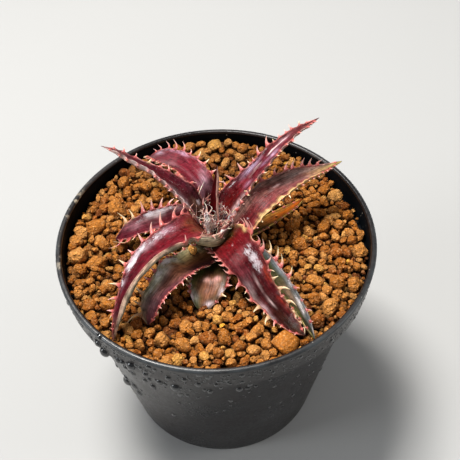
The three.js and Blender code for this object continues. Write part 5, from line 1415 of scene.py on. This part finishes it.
# ---------------------------------------------------------------- water drops on the band
def make_drops():
    rng = np.random.default_rng(21)
    drops = []  # azimuth, height, radius, bulge
    seen = [(104, 352, 1.7), (109, 358, 2.2), (127, 380, 1.9), (145, 374, 1.0), (145, 380, 1.1), (149, 379, 0.9),
            (175, 387, 1.9), (198, 385, 1.2), (184, 380, 1.3), (210, 391, 1.4), (240, 389, 1.6), (243, 382, 0.9),
            (160, 382, 1.3), (131, 366, 1.5), (118, 352, 1.2), (122, 362, 1.1), (98, 343, 1.4), (156, 380, 0.8),
            (168, 378, 1.2), (191, 390, 0.9), (221, 388, 1.0), (230, 384, 0.8), (256, 386, 0.8), (270, 380, 0.7),
            (140, 368, 0.8), (112, 366, 1.6), (134, 385, 1.6), (139, 392, 1.4), (100, 338, 1.3), (118, 360, 1.2),
            (125, 367, 1.1), (133, 373, 1.2), (153, 386, 1.1), (165, 384, 1.1), (180, 388, 1.0), (205, 390, 1.2),
            (216, 385, 0.9), (248, 388, 1.1)]
    for px, py, r in seen:
        ray = sight(px, py)
        best = None
        for t in np.linspace(250, 420, 1700):
            p = EYE + t * ray
            wall = 51.4 + (p[2] - 70) * 0.075 if p[2] > 70 else 48.2 - (69.4 - p[2]) * 0.199
            if 30 < p[2] < 79 and math.hypot(p[0], p[1]) < wall:
                best = p
                break
        if best is not None:
            drops.append((math.atan2(best[1], best[0]), best[2], (1.0 if px < 165 else 0.80) * r, rng.uniform(0.55, 0.75)))
    for _ in range(1500):
        az = rng.uniform(0, 2 * math.pi)
        z = rng.uniform(71.5, 77.6) if rng.random() < 0.75 else rng.uniform(30, 69)
        r = min(1.1, 0.20 + rng.exponential(0.24))
        if all(math.hypot((az - d[0]) * 51, z - d[1]) > 0.9 * (r + d[2]) for d in drops):
            drops.append((az, z, r, rng.uniform(0.35, 0.55)))
    verts, faces, count = [], [], 0
    for az, z, r, bulge in drops:
        v, f = BALLS[3 if r > 0.7 else 2]
        shape = Wave(int(az * 1000) % 9973, 3, 5, 1.0, 2.4)
        p = v * (1 + 0.10 * shape(v))[:, None]
        p = p * [r, r * rng.uniform(0.9, 1.15), r * bulge * 2]
        p[:, 1] -= 0.12 * r * np.clip(p[:, 1] / r, -1, 1) ** 2 * 0
        wall = 51.4 + (z - 70) * 0.075 if z > 70 else 48.2 - (69.4 - z) * 0.199
        out = np.array([math.cos(az), math.sin(az), 0])
        side = np.array([-math.sin(az), math.cos(az), 0])
        q = np.array([0, 0, z]) + out * (wall - 0.25 * r * bulge) + p[:, :1] * side + p[:, 1:2] * [0, 0, 1] + np.clip(p[:, 2:3], -0.4, None) * 0.55 * out
        verts.append(q)
        faces.append(f + count)
        count += len(v)
    obj = build_mesh("water_drops", np.concatenate(verts), np.concatenate(faces), materials=(MATS["water"],))
    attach(obj, "root")
    return obj


make_drops()


# ---------------------------------------------------------------- stem
def make_stem():
    core = [(0, 46.0), (1.0, 47.0), (2.6, 58), (4.6, 66), (4.0, 71), (3.0, 75), (2.4, 79), (1.8, 82), (0.8, 83.7), (0, 84.2)]
    v, quads, tris = turned(fine_steps(eased(core, 0.8, 3), 0.5), 56)
    r = np.hypot(v[:, 0], v[:, 1])
    a = np.arctan2(v[:, 1], v[:, 0])
    scars = 0.22 * np.abs(np.sin(v[:, 2] * 1.9 + 0.5 * np.sin(3 * a))) ** 3 + 0.10 * Wave(31, 3, 12, 0.8, 2.5)(v)
    k = 1 - np.clip(0.22 - scars, -0.1, 0.3) / np.maximum(r, 0.8) * smooth(0.0, 0.8, r)
    v = v * np.stack([k, k, np.ones_like(k)], 1)
    obj = build_mesh("stem_and_root_crown", v, [quads, tris], materials=(MATS["bark"],))
    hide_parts("stem")
    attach(obj, "root")


make_stem()


# ---------------------------------------------------------------- granules
def clods(level, count, rng):
    """Unit-sized knobby crumbs: uneven lumps with a few flats, dents and rounded knobs."""
    v, f = BALLS[level]
    made = []
    for _ in range(count):
        p = v * (1 + 0.13 * Wave(rng.integers(1 << 30), 3, 8, 0.9, 2.2)(v))[:, None]
        for _ in range(rng.integers(3, 8)):
            n = unit(rng.normal(size=3))
            over = p @ n - rng.uniform(0.62, 0.92)
            p -= np.outer(np.clip(over, 0, None), n)
        for _ in range(rng.integers(8, 15)):
            n = unit(rng.normal(size=3))
            near = np.linalg.norm(unit(p) - n, axis=1)
            p *= (1 + rng.uniform(-0.20, 0.20) * np.exp(-((near / rng.uniform(0.22, 0.55)) ** 2)))[:, None]
        if level >= 3:
            p *= (1 + 0.042 * Wave(rng.integers(1 << 30), 3, 12, 4.5, 9.0)(v))[:, None]
        if level >= 4:
            p *= (1 + 0.018 * Wave(rng.integers(1 << 30), 3, 14, 9.0, 18.0)(v))[:, None]
        p *= [1.0, rng.uniform(0.66, 1.0), rng.uniform(0.62, 0.95)]
        p /= np.mean(np.linalg.norm(p, axis=1))
        made.append(p - p.mean(0))
    return made, f


def settle():
    """Spheres that stand for the granules: (x, y, z, radius, layer). Layer 0 is the top one."""
    rng = np.random.default_rng(5)
    low = np.concatenate(UNDERSIDES)
    low = low[low[:, 2] < 79.5]
    rows = []

    def under_leaf(x, y, z, r):
        d2 = (low[:, 0] - x) ** 2 + (low[:, 1] - y) ** 2
        hit = d2 < (0.95 * r) ** 2
        if hit.any():
            z = min(z, float((low[hit, 2] - np.sqrt(r * r - d2[hit])).min()) - 0.08)
        return z

    def add(x, y, z, r, layer):
        rows.append((x, y, z, r, layer))

    def heap(y):
        return 1.9 * float(smooth(22, 40, y))

    for x, y, r in GRANULES:
        r = min(r, 49.6 - math.hypot(x, y)) if math.hypot(x, y) + r > 50.1 else r
        if r < 0.5:
            continue
        z = 75.45 + heap(y) - 0.78 * r + rng.uniform(-0.4, 0.6) + 0.55 * max(0, r - 1.6)
        if r < 4:
            z = under_leaf(x, y, z, r)
        if z > 70.5:
            add(x, y, z, r, 0)
    swell = Wave(77, 2, 9, 0.05, 0.22)
    classes = ((2.45, 900), (2.15, 700), (1.85, 1700), (1.55, 3000), (1.25, 4000), (1.02, 4600), (0.86, 4200), (0.70, 3000))
    for size, darts in classes:
        field = np.array(rows)
        extra = []
        for _ in range(darts):
            a = rng.uniform(0, 2 * math.pi)
            d = 50.0 * math.sqrt(rng.uniform(0, 1))
            x, y = d * math.cos(a), d * math.sin(a)
            fine_zone = math.exp(-(((x - 30) / 17) ** 2) - (((y - 6) / 15) ** 2))
            r = size * rng.uniform(0.88, 1.12)
            if r > 2.5 - 1.2 * fine_zone + 0.3 * heap(y) or d + r * 0.9 > 50.15:
                continue
            if size > 2.3 and y < 22:
                continue
            z = 75.15 + heap(y) + 0.35 * float(swell([x, y])) + rng.uniform(-1.25, 0.15) - 0.80 * r - (0.55 if size < 1 else 0.2 if size < 1.2 else 0)
            z = under_leaf(x, y, z, r)
            if z < 70.8:
                continue
            gap = np.sqrt((field[:, 0] - x) ** 2 + (field[:, 1] - y) ** 2 + (field[:, 2] - z) ** 2) - 0.84 * (field[:, 3] + r)
            if gap.min() < 0:
                continue
            if extra:
                e = np.array(extra)
                if (np.sqrt((e[:, 0] - x) ** 2 + (e[:, 1] - y) ** 2 + (e[:, 2] - z) ** 2) - 0.84 * (e[:, 3] + r)).min() < 0:
                    continue
            extra.append((x, y, z, r))
        for q in extra:
            add(*q, 0)
    # a second layer shows dark in the gaps
    for size, darts in ((1.7, 3500), (1.2, 5000)):
        field = np.array(rows)
        extra = []
        for _ in range(darts):
            a = rng.uniform(0, 2 * math.pi)
            d = 49.6 * math.sqrt(rng.uniform(0, 1))
            x, y = d * math.cos(a), d * math.sin(a)
            r = size * rng.uniform(0.85, 1.15)
            z = 72.6 + heap(y) + rng.uniform(-0.4, 0.4) - 0.8 * r
            if d + r > 50 or under_leaf(x, y, z, r) < z - 0.5:
                continue
            gap = np.sqrt((field[:, 0] - x) ** 2 + (field[:, 1] - y) ** 2 + (field[:, 2] - z) ** 2) - 0.72 * (field[:, 3] + r)
            if gap.min() < 0:
                continue
            if extra:
                e = np.array(extra)
                if (np.sqrt((e[:, 0] - x) ** 2 + (e[:, 1] - y) ** 2 + (e[:, 2] - z) ** 2) - 0.8 * (e[:, 3] + r)).min() < 0:
                    continue
            extra.append((x, y, z, r))
        for q in extra:
            add(*q, 1)
    return np.array(rows)


def make_granules():
    rng = np.random.default_rng(11)
    rows = settle()
    library = {1: clods(1, 24, rng), 2: clods(2, 48, rng), 3: clods(3, 40, rng), 4: clods(4, 6, rng)}
    groups = {"granules_coarse": [], "granules_medium": [], "granules_fine": [], "granules_below": []}
    for q in rows:
        if q[4] > 0:
            groups["granules_below"].append(q)
        elif q[3] > 1.7:
            groups["granules_coarse"].append(q)
        elif q[3] > 1.05:
            groups["granules_medium"].append(q)
        else:
            groups["granules_fine"].append(q)
    for name, members in groups.items():
        verts, faces, tint, shade, calm, count = [], [], [], [], [], 0
        for x, y, z, r, layer in members:
            level = 2 if layer > 0 else 4 if r > 3.2 else 3 if r > 1.05 else 1 if r < 0.7 else 2
            shapes, f = library[level]
            p = shapes[rng.integers(len(shapes))]
            if r > 4:  # the one big lump is rounder and smoother than the rest
                whole = BALLS[4][0]
                p = whole * (1 + 0.12 * Wave(5, 3, 8, 0.9, 2.6)(whole) + 0.022 * Wave(6, 3, 12, 3.5, 8.0)(whole))[:, None] * [1.16, 0.96, 0.90]
                for n in unit(np.array([(0.2, -0.8, 0.6), (-0.7, 0.1, 0.7), (0.9, 0.2, 0.3), (-0.3, -0.9, -0.2), (0.1, 0.7, 0.7)])):
                    p = p - np.outer(np.clip(p @ n - 0.80, 0, None) * 0.85, n)
            turn = random_turn(rng)
            p = p @ turn.T * [1, 1, 0.88] * r + [x, y, z]
            if r > 4:  # it lies beside the tip of a leaf, with a flat side turned to it
                p = 0.93 * (p - [x, y, z]) + [x - 0.3, y - 1.3, z - 0.1]
                n = unit(np.array([(0.59, 0.72, 0.37)]))[0]
                p = p - np.outer(np.clip((p - (p.min(0) + p.max(0)) / 2) @ n - 3.4, 0, None), n)
            verts.append(p)
            faces.append(f + count)
            count += len(p)
            t = float(np.clip(rng.normal(0.52, 0.21), 0.02, 0.90))
            if r < 1.3 and rng.random() < 0.018:
                t = 1.0
            if r > 4:
                t = 0.47
            tint.append(np.full(len(p), t))
            calm.append(np.full(len(p), 1.0 if r > 4 else 0.0))
            # painted shade: the top layer darkens with depth below the top of the bed and the layer below is dark; the
            # lowest value is raised at the left, a painted light in the gaps there
            shade_floor = 0.14 + 0.20 * float(smooth(-15, -38, x))
            dark = smooth(72.0, 74.9, p[:, 2] - 1.9 * smooth(22, 40, p[:, 1])) * (1 - shade_floor) + shade_floor if layer == 0 else 0.36 * smooth(69, 73, p[:, 2]) + shade_floor - 0.06
            # painted shade on the lower side of each granule, where it touches its neighbours
            shade.append(dark * (shade_floor + 0.06 + (1.10 - shade_floor) * smooth(-0.35, 0.62, (p[:, 2] - z) / r)))
        at = np.concatenate(verts)
        # painted shade: the granules darken towards the back
        back = 1 - 0.25 * smooth(22, 40, at[:, 1])
        # painted light: the granules at the right, by the tip of the old leaf, are lightened where the leaves shade
        # them
        back = back * (1 + 0.55 * np.exp(-(((at[:, 0] - 27) / 8) ** 2) - ((at[:, 1] - 11) / 7) ** 2))
        obj = build_mesh(
            name, np.concatenate(verts), np.concatenate(faces),
            {"tint": np.concatenate(tint), "shade": np.concatenate(shade) * back, "calm": np.concatenate(calm)}, (MATS["clay"],),
            shade_smooth=name in ("granules_coarse", "granules_medium"),
        )
        print(name, len(members), len(obj.data.polygons))
        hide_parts("potting_mix")
        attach(obj, "root")
    # the settled mass below the loose top, with the inside shape of the pot
    body = [(0, 4.1), (32.1, 4.1), (33.7, 5.3), (46.6, 70.4), (49.7, 71.0), (49.2, 71.3), (0, 71.3)]
    v, quads, tris = turned(fine_steps(eased(body, 0.5, 2), 2.2), 120)
    # the flat top is filled with rings
    rough = Wave(41, 3, 16, 0.9, 2.4)
    push = 0.45 * rough(v) - 0.45
    radial = unit(v * [1, 1, 0])
    side = smooth(0.5, 3, np.hypot(v[:, 0], v[:, 1]))
    v = v + radial * (np.clip(push, -1.2, 0) * side)[:, None]
    # painted shade: the top of the mass, which shows in the gaps, is darkened
    obj = build_mesh(
        "granules_settled_mass", v, [quads, tris],
        {"tint": np.full(len(v), 0.35), "shade": np.where(v[:, 2] > 60, 0.10, 0.5)}, (MATS["clay"],),
    )
    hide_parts("potting_mix")
    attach(obj, "root")
    # the one loose granule that lies on a leaf; its colour is raised, a painted light against the shade of the leaves
    # above it
    shapes, f = library[3]
    p = shapes[7] @ random_turn(rng).T * np.array([1.06, 1, 0.84]) * 1.5 + [-7.8, -5.7, 80.7]
    obj = build_mesh(
        "granule_loose", p, f, {"tint": np.full(len(p), 0.84), "shade": np.full(len(p), 1.9)}, (MATS["clay"],),
    )
    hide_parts("granule_on_leaf")
    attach(obj, "root")


make_granules()


# ---------------------------------------------------------------- stage, light, camera
def make_stage():
    v = np.array([[-3000, -3000, 0], [3000, -3000, 0], [3000, 3000, 0], [-3000, 3000, 0]], float)
    floor = build_mesh("floor", v, np.array([[0, 1, 2, 3]]), materials=(MATS["floor"],))

    world = bpy.data.worlds.new("studio")
    bpy.context.scene.world = world
    world.use_nodes = True
    background = world.node_tree.nodes["Background"]
    background.inputs[0].default_value = (0.93, 0.96, 1.0, 1)
    background.inputs[1].default_value = 0.24

    def area(name, at, target, size, power, colour=(1, 1, 1)):
        light = bpy.data.lights.new(name, "AREA")
        light.shape = "RECTANGLE"
        light.size, light.size_y = size
        light.energy = power
        light.color = colour
        obj = bpy.data.objects.new(name, light)
        obj.location = at
        obj.rotation_euler = (Vector(target) - Vector(at)).to_track_quat("-Z", "Y").to_euler()
        bpy.context.scene.collection.objects.link(obj)

    target = (0, 0, 0.07)
    area("key_softbox", (-0.21, 0.19, 0.95), target, (0.30, 0.30), 16.0, (1.0, 0.98, 0.95))
    area("left_softbox", (-0.85, -0.25, 0.45), target, (0.30, 0.60), 3.4, (0.94, 0.97, 1.0))
    area("right_softbox", (0.85, -0.1, 0.50), target, (0.30, 0.60), 2.2, (1.0, 0.98, 0.95))

    camera = bpy.data.cameras.new("camera")
    camera.sensor_width = 36
    camera.sensor_fit = "HORIZONTAL"
    camera.lens = FOCAL / 460 * 36
    camera.clip_start, camera.clip_end = 0.01, 50
    obj = bpy.data.objects.new("camera", camera)
    obj.matrix_world = Matrix([
        (RIGHT[0], UP[0], -FORWARD[0], EYE[0] * MM), (RIGHT[1], UP[1], -FORWARD[1], EYE[1] * MM),
        (RIGHT[2], UP[2], -FORWARD[2], EYE[2] * MM), (0, 0, 0, 1),
    ])
    bpy.context.scene.collection.objects.link(obj)
    bpy.context.scene.camera = obj
    view = bpy.context.scene.view_settings
    view.view_transform = "Standard"
    view.look = "None"
    view.exposure = 0.0


make_stage()
